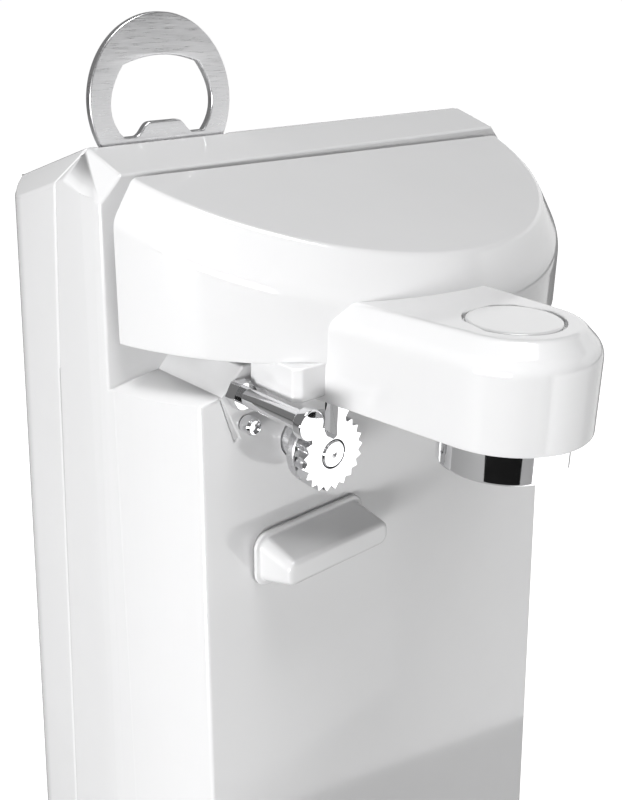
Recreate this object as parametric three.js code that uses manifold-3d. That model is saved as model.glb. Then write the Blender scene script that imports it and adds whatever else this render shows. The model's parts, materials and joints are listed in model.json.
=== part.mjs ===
// Countertop electric can opener: a tall plastic column with a drive wheel and can guide on its
// front panel, a lifting lever that carries the knife and magnet, and a bottle opener plate on top.
// Millimetres, +Z up, the front faces -Y. The origin is the middle of the footprint on the table.

import * as THREE from 'three';
import { mergeVertices } from 'three/addons/utils/BufferGeometryUtils.js';
import Module from 'manifold-3d';

const wasm = await Module();
wasm.setup();

// ---------------------------------------------------------------------------------------------
// Driving dimensions

const clear = 0.3;                // gap between pieces that touch
const runClear = 0.15;            // gap round a running shaft

// column
const bodyTop = 257.5;            // height of the ridge
const bodyFoot = 2.0;             // lower edge of the shells
const refZ = 204;                 // height at which the plan sizes below are given
const panelHalf = 63.5;           // half width of the flat front panel
const bodyHalf = 72.5;            // half width at the widest place
const bulgeY = 37;                // where the front curve meets the straight sides
const backY = 76.5;               // back face
const backRound = 14;             // radius of the back corners
const sideFlare = 0.0286;         // growth of the half width per mm of height, going down
const frontLean = 0.0314;         // forward growth of the panel per mm of height
const backLean = 0.049;           // backward growth of the back per mm of height
const wall = 2.5;
const ridgeY = 39.5;              // ridge, which is also the seam on the top
const topSlope = 0.319;           // fall of the top to either side of the ridge
const edgeChamfer = 6.2;          // chamfer along the left and right top edges
const seamStep = 5;               // the seam steps back this much across the chamfer
const seamLean = 0.049;
const recessY = 25.5;             // upper front wall behind the lever
const leverDepth = 42.5;          // from the ridge down to the lever's lower edge
const shelfDrop = 3;              // room between the lever and the shelf under it
const pocketDrop = 8;             // from the shelf down to the floor of the side pocket
const leverBottom = bodyTop - leverDepth;
const shelfZ = leverBottom - shelfDrop;
const pocketZ = shelfZ - pocketDrop;
const pocketInnerX = -57.5;
const pocketRampX = -51.5;

// drive
const wheelX = -35.7;
const wheelDrop = 25;             // the wheel's axis lies this far below the lever
const wheelZ = leverBottom - wheelDrop;
const wheelFrontY = -13.6;
const wheelThick = 3.8;
const wheelTipR = 9.35;
const wheelRootR = 8.25;
const wheelTeeth = 21;
const shaftR = 3.4;
const bushingR = 4.9;
const bushingFlangeR = 9.0;
const bushingFlangeThick = 2.8;

// gear train
const gearModule = 1;
const pinionTeeth = 10;
const outputTeeth = 28;
const middleTeeth = 36;
const firstTeeth = 46;
const meshSlack = 0.25;           // added to each centre distance
const plateThick = 1.5;
const frontPlateY = 8;
const rearPlateY = 34;
const axleR = 2.0;
const outputFaceY = 11.5;
const gearFace = 4;
const middleFaceY = 18.8;
const firstFaceY = 25.5;

// motor
const coreFrontY = 38.5;
const coreDepth = 18;
const rotorR = 12.4;
const coreHalf = 26;
const coreUp = 22;
const coreDown = 50;
const coilDeep = 8;

// lever
const leverRadius = 71;           // plan radius of the lever's curved front
const leverCentreY = 40;
const leverBackY = 23.6;
const leverBevelIn = 5.3;
const leverBevelDown = 8.7;
const leverWall = 2.6;
const leverTilt = 0.8;            // degrees, right side down, when the lever is fully lowered
const pivotX = -56;
const pivotRise = 11;             // the pivot lies this far above the lever's lower edge
const pivotZ = leverBottom + pivotRise;
const pivotR = 3.0;
const pivotFrontY = 9;            // front end of the lever's hub and of the pin
const armTop = leverBottom + 14.1;
const armBottom = leverBottom - 9;
const armBevel = 4.4;
const magnetX = -19.7;
const magnetY = -50.1;
const cupR = 14.4;
const armRim = 4.3;               // from the magnet cup out to the arm's round end
const armEndR = cupR + armRim;
const armWiden = 0.1;             // the arm's sides spread towards its root
const armRootY = -14;
const capR = 10.2;
const magnetStemR = 2.4;
const cupProud = 8.4;             // the cup stands this far out of the arm
const cupBottom = armBottom - cupProud;
const blockLeft = -50;
const blockRight = -41.5;
const blockFront = -17;
const blockBack = -0.9;
const blockBottom = leverBottom - 7.5;

// knife
const knifeFront = -19.2;
const knifeThick = 4.4;
const knifeLeft = -39.6;
const knifeRight = -34;
const knifeHeel = wheelZ + 13;    // where the sloped cutting edge meets the right side
const knifeTop = armBottom + 7;
const knifeTip = wheelZ + 6.2;

// posts and guide on the panel
const postX = -53.4;
const postZ = wheelZ + 16.2;
const postEndY = -25.5;
const postR = 2.2;
const postFlangeR = 3.5;
const postHexR = 3.6;
const pinX = -51.2;
const pinZ = wheelZ + 8;
const pinR = 2.2;
const pinEndY = -3.8;
const guideLeft = -49.6;
const guideRight = -16.2;
const guideDrop = 22.6;           // from the wheel's axis down to the guide
const guideBackTop = wheelZ - guideDrop;
const guideBackBottom = guideBackTop - 12;
const guideFrontTop = guideBackTop - 2;
const guideFrontBottom = guideFrontTop - 6.4;
const guideStudInset = 8;         // the studs stand this far in from the guide's ends
const guideStudR = 1.6;
const guideEndY = -14;

// bottle opener plate
const ringX = -42.4;
const ringRise = 8.7;             // centre of the round plate above the ridge
const ringZ = bodyTop + ringRise;
const ringR = 20;
const ringThick = 2;
const ringHoleHalf = 14.4;
const ringTabR = 4.5;             // depth of the tongue that lifts the cap, below the centre

// small parts
const footR = 7;
const footHeight = 2.2;
const screwPostR = 4.2;
const screwR = 1.5;
const screwSink = 5;              // depth of the screw recesses in the back
const screwHead = 3;
const plateGrow = 6;              // the gear plates reach this far past their holes
const roundSides = 32;

// ---------------------------------------------------------------------------------------------
// Solids: closed geometries in, closed geometries out

function solid(geometry) {
  const bare = geometry.clone();
  bare.deleteAttribute('normal');
  bare.deleteAttribute('uv');
  const merged = mergeVertices(bare, 1e-5);
  const vertProperties = new Float32Array(merged.attributes.position.array);
  const triVerts = new Uint32Array(merged.index.array);
  return new wasm.Manifold(new wasm.Mesh({ numProp: 3, vertProperties, triVerts }));
}

function geometryOf(body) {
  const mesh = body.getMesh();
  const geometry = new THREE.BufferGeometry();
  geometry.setAttribute('position', new THREE.BufferAttribute(new Float32Array(mesh.vertProperties), 3));
  geometry.setIndex(new THREE.BufferAttribute(new Uint32Array(mesh.triVerts), 1));
  geometry.computeVertexNormals();
  return geometry;
}

function joined(first, ...others) {
  return others.reduce((sum, other) => sum.add(other), first);
}

function cut(first, ...others) {
  return others.reduce((rest, other) => rest.subtract(other), first);
}

function block(x0, x1, y0, y1, z0, z1) {
  const geometry = new THREE.BoxGeometry(x1 - x0, y1 - y0, z1 - z0);
  geometry.translate((x0 + x1) / 2, (y0 + y1) / 2, (z0 + z1) / 2);
  return solid(geometry);
}

function shapeOf(points) {
  return new THREE.Shape(points.map(([x, y]) => new THREE.Vector2(x, y)));
}

// a prism whose outline is given in X and Z, running along Y
function prismY(outline, y0, y1) {
  const shape = outline instanceof THREE.Shape ? outline : shapeOf(outline);
  const depth = y1 - y0;
  const geometry = new THREE.ExtrudeGeometry(shape, { depth, bevelEnabled: false, curveSegments: 8 });
  geometry.rotateX(Math.PI / 2);
  geometry.translate(0, y1, 0);
  return solid(geometry);
}

function cylinderY(radius, x, z, y0, y1, sides = roundSides) {
  const geometry = new THREE.CylinderGeometry(radius, radius, y1 - y0, sides);
  geometry.translate(x, (y0 + y1) / 2, z);
  return solid(geometry);
}

function cylinderZ(radius, x, y, z0, z1, sides = roundSides) {
  const geometry = new THREE.CylinderGeometry(radius, radius, z1 - z0, sides);
  geometry.rotateX(Math.PI / 2);
  geometry.translate(x, y, (z0 + z1) / 2);
  return solid(geometry);
}

// a turned piece about the Y axis through (x, z); the profile is [radius, y], from axis to axis
function turnedY(profile, x, z, sides = roundSides) {
  const points = profile.map(([radius, y]) => new THREE.Vector2(radius, y));
  const geometry = new THREE.LatheGeometry(points, sides);
  geometry.translate(x, 0, z);
  return solid(geometry);
}

function turnedZ(profile, sides = roundSides) {
  const points = profile.map(([radius, z]) => new THREE.Vector2(radius, z));
  const geometry = new THREE.LatheGeometry(points, sides);
  geometry.rotateX(Math.PI / 2);
  return solid(geometry);
}

// a closed skin over rings of equal length; each ring runs the same way, seen along the stack
function loft(rings) {
  const count = rings[0].length;
  const positions = rings.flat(2);
  const index = [];
  for (let level = 0; level + 1 < rings.length; level += 1) {
    for (let i = 0; i < count; i += 1) {
      const a = level * count + i;
      const b = level * count + ((i + 1) % count);
      index.push(a, b, b + count, a, b + count, a + count);
    }
  }
  const flat = rings[0].map(([x, y]) => new THREE.Vector2(x, y));
  const capTriangles = THREE.ShapeUtils.triangulateShape(flat, []);
  const last = (rings.length - 1) * count;
  for (const [a, b, c] of capTriangles) {
    index.push(c, b, a);
    index.push(last + a, last + b, last + c);
  }
  const geometry = new THREE.BufferGeometry();
  geometry.setAttribute('position', new THREE.BufferAttribute(new Float32Array(positions), 3));
  geometry.setIndex(index);
  return solid(geometry);
}

function arc(cx, cy, radius, from, to, steps) {
  const points = [];
  for (let i = 0; i <= steps; i += 1) {
    const angle = from + ((to - from) * i) / steps;
    points.push([cx + radius * Math.cos(angle), cy + radius * Math.sin(angle)]);
  }
  return points;
}

// ---------------------------------------------------------------------------------------------
// Column: a tapered D with a flat panel in front

function panelY(z) {
  return -frontLean * (refZ - z);
}

function backAt(z) {
  return backY + backLean * (refZ - z);
}

function halfAt(z) {
  return bodyHalf + sideFlare * (refZ - z);
}

// plan of the column at height z, counter-clockwise from the front right corner
function columnPlan(z, inset) {
  const front = panelY(z);
  const back = backAt(z);
  const half = halfAt(z);
  const panel = panelHalf + sideFlare * (refZ - z);
  const bulge = half - panel;
  const reach = bulgeY - front;
  const radius = (bulge * bulge + reach * reach) / (2 * bulge);
  const frontIn = front + inset;
  const lowAngle = Math.asin((bulgeY - frontIn) / (radius - inset));
  const right = arc(half - radius, bulgeY, radius - inset, -lowAngle, 0, 8);
  const corner = arc(half - backRound, back - backRound, backRound - inset, 0, Math.PI / 2, 6);
  const left = [...right, ...corner].map(([x, y]) => [-x, y]).reverse();
  return [...right, ...corner, ...left];
}

function column(inset, bottom, top) {
  const ring = (z) => columnPlan(z, inset).map(([x, y]) => [x, y, z]);
  return loft([ring(bottom), ring(top)]);
}

// everything above the sloped top, lowered by the given depth
function aboveTop(depth) {
  const far = 200;
  const peak = bodyTop - depth;
  const drop = topSlope * far;
  const gable = [
    [-far, peak - drop], [0, peak], [far, peak - drop], [far, peak + far], [-far, peak + far],
  ];
  const geometry = new THREE.ExtrudeGeometry(shapeOf(gable), { depth: 2 * far, bevelEnabled: false });
  geometry.rotateX(Math.PI / 2);
  geometry.rotateZ(Math.PI / 2);
  geometry.translate(-far, ridgeY, 0);
  return solid(geometry);
}

// wedge beyond the chamfer on the right; it follows the slope of the top
function chamferCut(depth, side) {
  const far = 60;
  const ringAt = (y) => {
    const top = bodyTop - topSlope * Math.abs(y - ridgeY);
    const x = halfAt(top) - depth;
    return [
      [side * (x - edgeChamfer - far), y, top + far - depth * 0.4],
      [side * (x + far), y, top - edgeChamfer * 1.08 - far - depth * 0.4],
      [side * (x + far), y, top + far],
    ];
  };
  const places = [-80, ridgeY, 160];
  const positions = places.map(ringAt).flat(2);
  const index = [0, 2, 1, 6, 7, 8];
  for (let level = 0; level < 2; level += 1) {
    for (let i = 0; i < 3; i += 1) {
      const a = level * 3 + i;
      const b = level * 3 + ((i + 1) % 3);
      index.push(a, b, b + 3, a, b + 3, a + 3);
    }
  }
  const ordered = [];
  for (let i = 0; i < index.length; i += 3) {
    const [a, b, c] = index.slice(i, i + 3);
    ordered.push(...(side > 0 ? [a, c, b] : [a, b, c]));
  }
  const geometry = new THREE.BufferGeometry();
  geometry.setAttribute('position', new THREE.BufferAttribute(new Float32Array(positions), 3));
  geometry.setIndex(ordered);
  return solid(geometry);
}

// all the space behind the seam, grown forward by the given gap
function behindSeam(gap) {
  const far = 200;
  const plan = (z) => {
    const shift = seamLean * (bodyTop - z) - gap;
    const topHalf = bodyHalf - edgeChamfer;
    const near = ridgeY + shift;
    const side = near + seamStep;
    return [
      [far, side, z], [far, far, z], [-far, far, z], [-far, side, z],
      [-bodyHalf, side, z], [-topHalf, near, z], [topHalf, near, z], [bodyHalf, side, z],
    ];
  };
  return loft([plan(-10), plan(bodyTop + 20)]);
}

function outerColumn() {
  const raw = column(0, bodyFoot, bodyTop + 1);
  return cut(raw, aboveTop(0), chamferCut(0, 1), chamferCut(0, -1));
}

function innerColumn() {
  const raw = column(wall, bodyFoot - 5, bodyTop + 1);
  return cut(raw, aboveTop(wall), chamferCut(wall, 1), chamferCut(wall, -1));
}

// the space that the lever fills: above the shelf and the side pocket, in front of the upper wall
function leverSpace(grow) {
  const far = 120;
  const profile = [
    [-far, pocketZ - 1 - grow], [-bodyHalf, pocketZ - grow], [pocketInnerX, pocketZ + 1.8 - grow],
    [pocketRampX, shelfZ - grow], [far, shelfZ - grow], [far, bodyTop + 20], [-far, bodyTop + 20],
  ];
  return prismY(profile, -far, recessY + grow);
}

// ---------------------------------------------------------------------------------------------
// Gear centres, each placed from the one before it

const pitchR = (teeth) => (gearModule * teeth) / 2;
const outputAt = { x: wheelX, z: wheelZ };

function stepFrom(from, teethA, teethB, degrees) {
  const distance = pitchR(teethA) + pitchR(teethB) + meshSlack;
  const angle = THREE.MathUtils.degToRad(degrees);
  return { x: from.x + distance * Math.cos(angle), z: from.z + distance * Math.sin(angle), angle };
}

const middleAt = stepFrom(outputAt, outputTeeth, pinionTeeth, -60);
const firstAt = stepFrom(middleAt, middleTeeth, pinionTeeth, -20);
const rotorAt = stepFrom(firstAt, firstTeeth, pinionTeeth, -60);

// spur gear with straight-sided teeth; a tooth points along "toward", or a gap when "gap" is true
function gearBody(teeth, centre, y0, y1, toward, gap, boreR) {
  const pitch = (2 * Math.PI) / teeth;
  const tip = pitchR(teeth) + 0.75 * gearModule;
  const root = pitchR(teeth) - 1.15 * gearModule;
  const start = toward + (gap ? pitch / 2 : 0);
  const points = [];
  for (let i = 0; i < teeth; i += 1) {
    const mid = start + i * pitch;
    points.push([root, mid - 0.3 * pitch], [tip, mid - 0.1 * pitch]);
    points.push([tip, mid + 0.1 * pitch], [root, mid + 0.3 * pitch]);
  }
  const outline = points.map(([r, a]) => [centre.x + r * Math.cos(a), centre.z + r * Math.sin(a)]);
  return cut(prismY(outline, y0, y1), cylinderY(boreR, centre.x, centre.z, y0 - 1, y1 + 1, 24));
}

// ---------------------------------------------------------------------------------------------
// Screw places, shared by the shells and the screws

const coverScrews = [
  { x: -61, z: bodyTop - 19.5 }, { x: 61, z: bodyTop - 19.5 }, { x: -58, z: 24 }, { x: 58, z: 24 },
];
const plateSpots = [
  { x: wheelX - 14, z: wheelZ - 22 },
  { x: wheelX + 44, z: wheelZ + 6 },
  { x: rotorAt.x - 34, z: rotorAt.z - 14 },
];
const footSpots = [
  { name: 'front_left', x: -58, y: 8 }, { name: 'front_right', x: 58, y: 8 },
  { name: 'rear_left', x: -58, y: 62 }, { name: 'rear_right', x: 58, y: 62 },
];
const switchX = pivotX + 16;
const switchY = 33;
const tabBottom = leverBottom + 22.2;
const switchTop = tabBottom - 5.2;
const tabHalf = 2;
const tabThick = 3;
const inletX = 38;
const inletZ = 26;
const inletR = 4.2;
const inletWallR = 6.2;
const inletProud = 3;

function seamAt(z) {
  return ridgeY + seamLean * (bodyTop - z) + seamStep;
}

// ---------------------------------------------------------------------------------------------
// Housing

function frontHousing() {
  const shell = cut(outerColumn(), innerColumn(), behindSeam(clear));
  const skinBox = column(0, bodyFoot, bodyTop + 1);
  // shelf, pocket and upper wall follow the lever's space with the same wall thickness
  const lining = cut(leverSpace(wall), leverSpace(0));
  const clippedLining = lining.intersect(cut(skinBox, aboveTop(0), chamferCut(0, 1), chamferCut(0, -1)));
  let body = joined(cut(shell, leverSpace(0)), clippedLining);
  for (const spot of coverScrews) {
    const start = spot.z > shelfZ ? recessY + wall - 0.5 : panelY(spot.z) + wall - 0.5;
    const post = cylinderY(screwPostR, spot.x, spot.z, start, seamAt(spot.z) - 8, 16);
    const pilot = cylinderY(screwR - 0.1, spot.x, spot.z, seamAt(spot.z) - 22, seamAt(spot.z), 12);
    body = cut(joined(body, post), pilot);
  }
  for (const spot of plateSpots) {
    const start = panelY(spot.z) + wall - 0.5;
    body = joined(body, cylinderY(screwPostR, spot.x, spot.z, start, frontPlateY - clear, 16));
  }
  const pivotBoss = cylinderY(pivotR + 3.5, pivotX, pivotZ, recessY + 1, recessY + wall + 4, 24);
  body = joined(body, pivotBoss);
  // the lever's tab reaches the switch through this slot and swings to the left as it lifts
  const tabSlot = block(
    switchX - 9, switchX + 4.5, recessY - 4, recessY + wall + 2, tabBottom - 3, tabBottom + 9,
  );
  const holes = [
    cylinderY(bushingR + clear, wheelX, wheelZ, -6, 7.8),
    cylinderY(pivotR + clear, pivotX, pivotZ, recessY - 6, recessY + 12, 24),
    cylinderY(postR - 0.2 + clear, postX, postZ, -4, 6.2, 24),
    cylinderY(pinR - 0.4 + clear, pinX, pinZ, -4, 6.2, 24),
    tabSlot,
    ...guideStuds(guideStudR + clear, -6, 6),
  ];
  // shallow crease on the panel beside the posts
  const creaseAt = [[-58.6, wheelZ + 17.4], [-54.6, wheelZ + 4.6], [-53.4, wheelZ + 4.9]];
  const crease = prismY(creaseAt, panelY(wheelZ) - 3, panelY(wheelZ) + 0.55);
  return cut(body, ...holes, crease);
}

function rearCover() {
  let body = cut(outerColumn(), innerColumn()).intersect(behindSeam(0));
  for (const { x, z } of coverScrews) {
    const back = backAt(z);
    const post = cylinderY(screwPostR, x, z, seamAt(z) - 7.5, back - 1, 16);
    const hole = cylinderY(screwR + clear, x, z, seamAt(z) - 9, back + 5, 12);
    const recess = cylinderY(screwHead + clear, x, z, back - screwSink, back + 5, 16);
    body = cut(joined(body, post), hole, recess);
  }
  const slotHalf = ringR - 1.4;
  const slot = block(
    ringX - slotHalf, ringX + slotHalf, ridgeY - 2, plateBackY() + clear, bodyTop - 12, bodyTop + 5,
  );
  const ribs = [-1, 1].map((side) => {
    const x = ringX + side * 9;
    return block(x - 2, x + 2, plateBackY() + clear, backAt(bodyTop - 20) - 1, bodyTop - 30, bodyTop - 6);
  });
  const insideRibs = joined(...ribs).intersect(column(1, bodyFoot, bodyTop + 1)).subtract(aboveTop(1.5));
  const inlet = cylinderY(inletWallR, inletX, inletZ, backAt(inletZ) - 12, backAt(inletZ) + 12, 24);
  return cut(joined(cut(body, slot), insideRibs), inlet);
}

function plateFrontY() {
  return ridgeY + 0.6;
}

function plateBackY() {
  return plateFrontY() + ringThick;
}

function basePlate() {
  const ring = (z) => columnPlan(z, wall + 0.5).map(([x, y]) => [x, y, z]);
  const thick = 2.5;
  let body = loft([ring(bodyFoot + 0.4), ring(bodyFoot + 0.4 + thick)]);
  for (const spot of footSpots) {
    body = cut(body, cylinderZ(2.6 + clear, spot.x, spot.y, 0, 8, 16));
  }
  // air vents under the motor
  for (let i = -2; i <= 2; i += 1) {
    body = cut(body, block(rotorAt.x - 14, rotorAt.x + 14, 34 + i * 6, 36.5 + i * 6, 0, 8));
  }
  return body;
}

function foot() {
  const stem = 2.6;
  return turnedZ([
    [0, 0], [footR - 0.8, 0], [footR, 0.8], [footR, footHeight], [stem, footHeight], [stem, 6], [0, 6],
  ], 20);
}

function coverScrew() {
  const head = screwHead - 0.1;
  return turnedY([
    [0, -24], [screwR - 0.3, -24], [screwR - 0.3, -3], [head, -2.4], [head, -0.6], [head - 0.7, 0], [0, 0],
  ], 0, 0, 12);
}

function bottleOpener() {
  const round = arc(ringX, ringZ, ringR, 0, 2 * Math.PI, 48).slice(0, -1);
  const disc = prismY(round, plateFrontY(), plateBackY());
  const stem = block(ringX - 13, ringX + 13, plateFrontY(), plateBackY(), bodyTop - 28, bodyTop - 6);
  const half = ringHoleHalf;
  const hole = new THREE.Shape();
  hole.moveTo(ringX - 10.6, ringZ + 8.6);
  hole.quadraticCurveTo(ringX - half - 3.4, ringZ - 0.6, ringX - 11.4, ringZ - 7.6);
  hole.lineTo(ringX - 8.2, ringZ - 7.6);
  hole.bezierCurveTo(ringX - 6.2, ringZ - 7.2, ringX - 6, ringZ - ringTabR, ringX - 3.6, ringZ - ringTabR);
  hole.lineTo(ringX + 3.6, ringZ - ringTabR);
  hole.bezierCurveTo(ringX + 6, ringZ - ringTabR, ringX + 6.2, ringZ - 7.2, ringX + 8.2, ringZ - 7.6);
  hole.lineTo(ringX + 11.4, ringZ - 7.6);
  hole.quadraticCurveTo(ringX + half + 3.4, ringZ - 0.6, ringX + 10.6, ringZ + 8.6);
  hole.quadraticCurveTo(ringX, ringZ + 12.4, ringX - 10.6, ringZ + 8.6);
  const opening = prismY(hole, plateFrontY() - 1, plateBackY() + 1);
  const screws = [-1, 1].map((side) => cylinderY(1.8, ringX + side * 7, bodyTop - 23, 30, 50, 16));
  return cut(joined(disc, stem), opening, ...screws);
}

// ---------------------------------------------------------------------------------------------
// Lever

function leverTopZ(y) {
  return bodyTop - topSlope * (ridgeY - y);
}

// plan of the lever's head: a circular front closed by a straight back
function headPlan(inset, backInset) {
  const back = leverBackY - backInset;
  const radius = leverRadius - inset;
  const end = Math.asin((leverCentreY - back) / radius);
  const front = arc(0, leverCentreY, radius, -Math.PI + end, -end, 36);
  return front;
}

function headSolid(inset, bottom, drop) {
  const back = inset;
  const level = (plan, z) => plan.map(([x, y]) => [x, y, typeof z === 'function' ? z(y) : z]);
  const outline = headPlan(inset, back);
  const soft = headPlan(inset + 0.8, back);
  const inner = headPlan(inset + leverBevelIn, back);
  return loft([
    level(inset > 0 ? outline : soft, bottom),
    level(outline, bottom + 0.8),
    level(outline, (y) => leverTopZ(y) - leverBevelDown - drop * 0.4),
    level(inner, (y) => leverTopZ(y) - drop),
  ]);
}

// plan of the arm: a round end and two sides that spread slightly towards the root
function armPlan(inset, rootY) {
  const radius = armEndR - inset;
  const length = rootY - magnetY;
  const spread = armWiden * length;
  const slope = Math.atan(armWiden);
  const end = arc(magnetX, magnetY, radius, Math.PI + slope, 2 * Math.PI - slope, 20);
  return [...end, [magnetX + radius + spread, rootY], [magnetX - radius - spread, rootY]];
}

function armSolid(inset, bottom, drop, rootY) {
  const level = (plan, z) => plan.map(([x, y]) => [x, y, z]);
  return loft([
    level(armPlan(inset > 0 ? inset : 0.8, rootY), bottom),
    level(armPlan(inset, rootY), bottom + 0.8),
    level(armPlan(inset, rootY), armTop - armBevel - drop * 0.4),
    level(armPlan(inset + armBevel, rootY), armTop - drop),
  ]);
}

function leverShell() {
  const head = cut(headSolid(0, leverBottom, 0), headSolid(leverWall, leverBottom - 1.5, leverWall));
  const armHollow = armSolid(leverWall, armBottom - 1.5, leverWall, armRootY - leverWall);
  const knifeBlock = block(
    knifeLeft - 1.5, knifeRight + 3, knifeFront - 3, armRootY, armBottom, knifeTop + 3,
  );
  const arm = joined(cut(armSolid(0, armBottom, 0, armRootY), armHollow), knifeBlock);
  const headHollow = headSolid(leverWall, leverBottom + 3, leverWall);
  const chamfer = 1.6;
  const carrierPlan = [
    [blockRight + 2, blockBack], [blockLeft, blockBack], [blockLeft, blockFront + chamfer],
    [blockLeft + chamfer, blockFront], [blockRight + 2, blockFront],
  ];
  const carrierRing = (z) => carrierPlan.map(([x, y]) => [x, y, z]);
  const carrier = loft([carrierRing(blockBottom), carrierRing(leverBottom + 6)]);
  const hub = cylinderY(pivotR + 3.2, pivotX, pivotZ, pivotFrontY, leverBackY, 24);
  const ribTop = leverTopZ(pivotFrontY) - 1;
  const rib = block(pivotX - 1.2, pivotX + 1.2, pivotFrontY, leverBackY, pivotZ + pivotR + 1, ribTop);
  const tabStart = leverBackY - 6;
  const tabLeft = switchX - tabHalf;
  const tabRight = switchX + tabHalf;
  const tab = block(tabLeft, tabRight, tabStart, switchY + 1.5, tabBottom, tabBottom + tabThick);
  const ledge = block(tabLeft, tabRight, tabStart, leverBackY, tabBottom, leverTopZ(tabStart) - 1);
  const stemTube = cylinderZ(5.4, magnetX, magnetY, armTop - 12, armTop - 1.2, 24);
  const body = joined(head, cut(arm, headHollow), carrier, hub, rib, tab, ledge, stemTube);
  const knifeX = (knifeLeft + knifeRight) / 2;
  const knifeY = knifeFront + knifeThick / 2;
  return cut(
    body,
    cylinderZ(capR + 0.4, magnetX, magnetY, armTop - 1.4, armTop + 2, 40),
    cylinderZ(magnetStemR + clear, magnetX, magnetY, armTop - 20, armTop + 2, 24),
    cylinderY(pivotR + runClear, pivotX, pivotZ, pivotFrontY - 1, leverBackY + 2, roundSides),
    block(knifeLeft - clear, knifeRight + clear, knifeFront - clear, knifeFront + knifeThick + clear,
      armBottom - 2, knifeTop + clear),
    cylinderZ(1.3, knifeX, knifeY, knifeTop - 1, knifeTop + 8, 12),
    cylinderZ(3.1, knifeX, knifeY, knifeTop + 2.7, knifeTop + 9, 16),
  );
}

function headCover() {
  const plan = headPlan(leverWall + clear, leverWall + clear);
  const ring = (z) => plan.map(([x, y]) => [x, y, z]);
  const plate = loft([ring(leverBottom + 0.6), ring(leverBottom + 2.6)]);
  const armKeepOut = armSolid(-clear, armBottom - 2, 0, armRootY + clear);
  const low = leverBottom - 15;
  const high = leverBottom + 25;
  const carrierKeepOut = block(
    blockLeft - clear, blockRight + 4, blockFront - 3, blockBack + clear, low, high,
  );
  return cut(plate, armKeepOut, carrierKeepOut);
}

function armCover() {
  const level = (z) => armPlan(leverWall + clear, armRootY - leverWall - clear).map(([x, y]) => [x, y, z]);
  const plate = loft([level(armBottom + 0.6), level(armBottom + 2.4)]);
  const low = armBottom - 6;
  const high = armBottom + 34;
  const pastArm = magnetX - 2 * armEndR;
  const knifeKeepOut = block(pastArm, knifeRight + 3.3, knifeFront - 3.3, armRootY + 1, low, high);
  return cut(plate, knifeKeepOut, cylinderZ(cupR + 0.5, magnetX, magnetY, low, high, 48));
}

function magnetCap() {
  return turnedZ([[0, -1.0], [capR, -1.0], [capR, -0.4], [capR - 0.5, 0], [0, 0]], 48);
}

function magnetCup() {
  const height = 12.4;
  const cup = turnedZ([
    [0, 0], [cupR - 0.6, 0], [cupR, 0.6], [cupR, height - 0.5], [cupR - 0.5, height], [0, height],
  ], 48);
  const stem = cylinderZ(magnetStemR, 0, 0, height - 1, armTop - cupBottom - 4, 24);
  const pocket = cylinderZ(cupR - 2, 0, 0, -1, 4.3, 40);
  return cut(joined(cup, stem), pocket);
}

function magnetDisc() {
  return turnedZ([[0, 0.2], [cupR - 2.3, 0.2], [cupR - 2.3, 4], [0, 4]], 40);
}

function knife() {
  const tipX = knifeLeft + 0.9;
  const bevel = 1.6;
  const outline = [
    [knifeLeft, knifeTop], [knifeLeft, knifeTip + 1.8], [tipX, knifeTip], [knifeRight, knifeHeel],
    [knifeRight, knifeTop],
  ];
  const blade = prismY(outline.reverse(), knifeFront, knifeFront + knifeThick);
  const slopeLength = Math.hypot(knifeRight - tipX, knifeHeel - knifeTip);
  const slopeAngle = Math.atan2(knifeHeel - knifeTip, knifeRight - tipX);
  const wedge = new THREE.BoxGeometry(slopeLength + 12, 2 * bevel, 2 * bevel);
  wedge.rotateX(Math.PI / 4);
  wedge.rotateY(-slopeAngle);
  wedge.translate((tipX + knifeRight) / 2, knifeFront - 0.2, (knifeTip + knifeHeel) / 2 - 0.2);
  const middleX = (knifeLeft + knifeRight) / 2;
  const middleY = knifeFront + knifeThick / 2;
  const bore = cylinderZ(1.1, middleX, middleY, knifeTop - 6, knifeTop + 2, 12);
  return cut(blade, solid(wedge), bore);
}

function knifeScrew() {
  return turnedZ([[0, 0], [0.9, 0], [0.9, 8.3], [2.6, 8.3], [2.6, 9.6], [2.0, 10.2], [0, 10.2]], 16);
}

// ---------------------------------------------------------------------------------------------
// Pieces on the front panel

function pivotPin() {
  const end = recessY + wall + 10;
  return turnedY([
    [0, pivotFrontY], [pivotR - 0.5, pivotFrontY], [pivotR, pivotFrontY + 0.5], [pivotR, end], [0, end],
  ], pivotX, pivotZ);
}

function pivotClip() {
  const start = recessY + wall + 5;
  const ring = turnedY([
    [pivotR + 0.2, start], [pivotR + 3, start], [pivotR + 3, start + 1], [pivotR + 0.2, start + 1],
    [pivotR + 0.2, start],
  ], pivotX, pivotZ, 24);
  return cut(ring, block(pivotX - 1.2, pivotX + 1.2, start - 1, start + 2, pivotZ, pivotZ + 10));
}

function locatingPost() {
  const base = panelY(postZ) - clear;
  const neck = postR - 0.2;
  const shaft = turnedY([
    [0, postEndY], [postFlangeR - 0.4, postEndY], [postFlangeR, postEndY + 0.4],
    [postFlangeR, postEndY + 2.6], [postR, postEndY + 3], [postR, base - 3], [neck, base - 2.6],
    [neck, 6], [0, 6],
  ], postX, postZ);
  const hex = cylinderY(postHexR, postX, postZ, base - 3, base, 6);
  return joined(shaft, hex);
}

function locatingPin() {
  const base = panelY(pinZ) - clear;
  const neck = pinR - 0.4;
  return turnedY([
    [0, pinEndY], [pinR - 0.4, pinEndY], [pinR, pinEndY + 0.4], [pinR, base], [neck, base],
    [neck, 6], [0, 6],
  ], pinX, pinZ);
}

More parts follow.
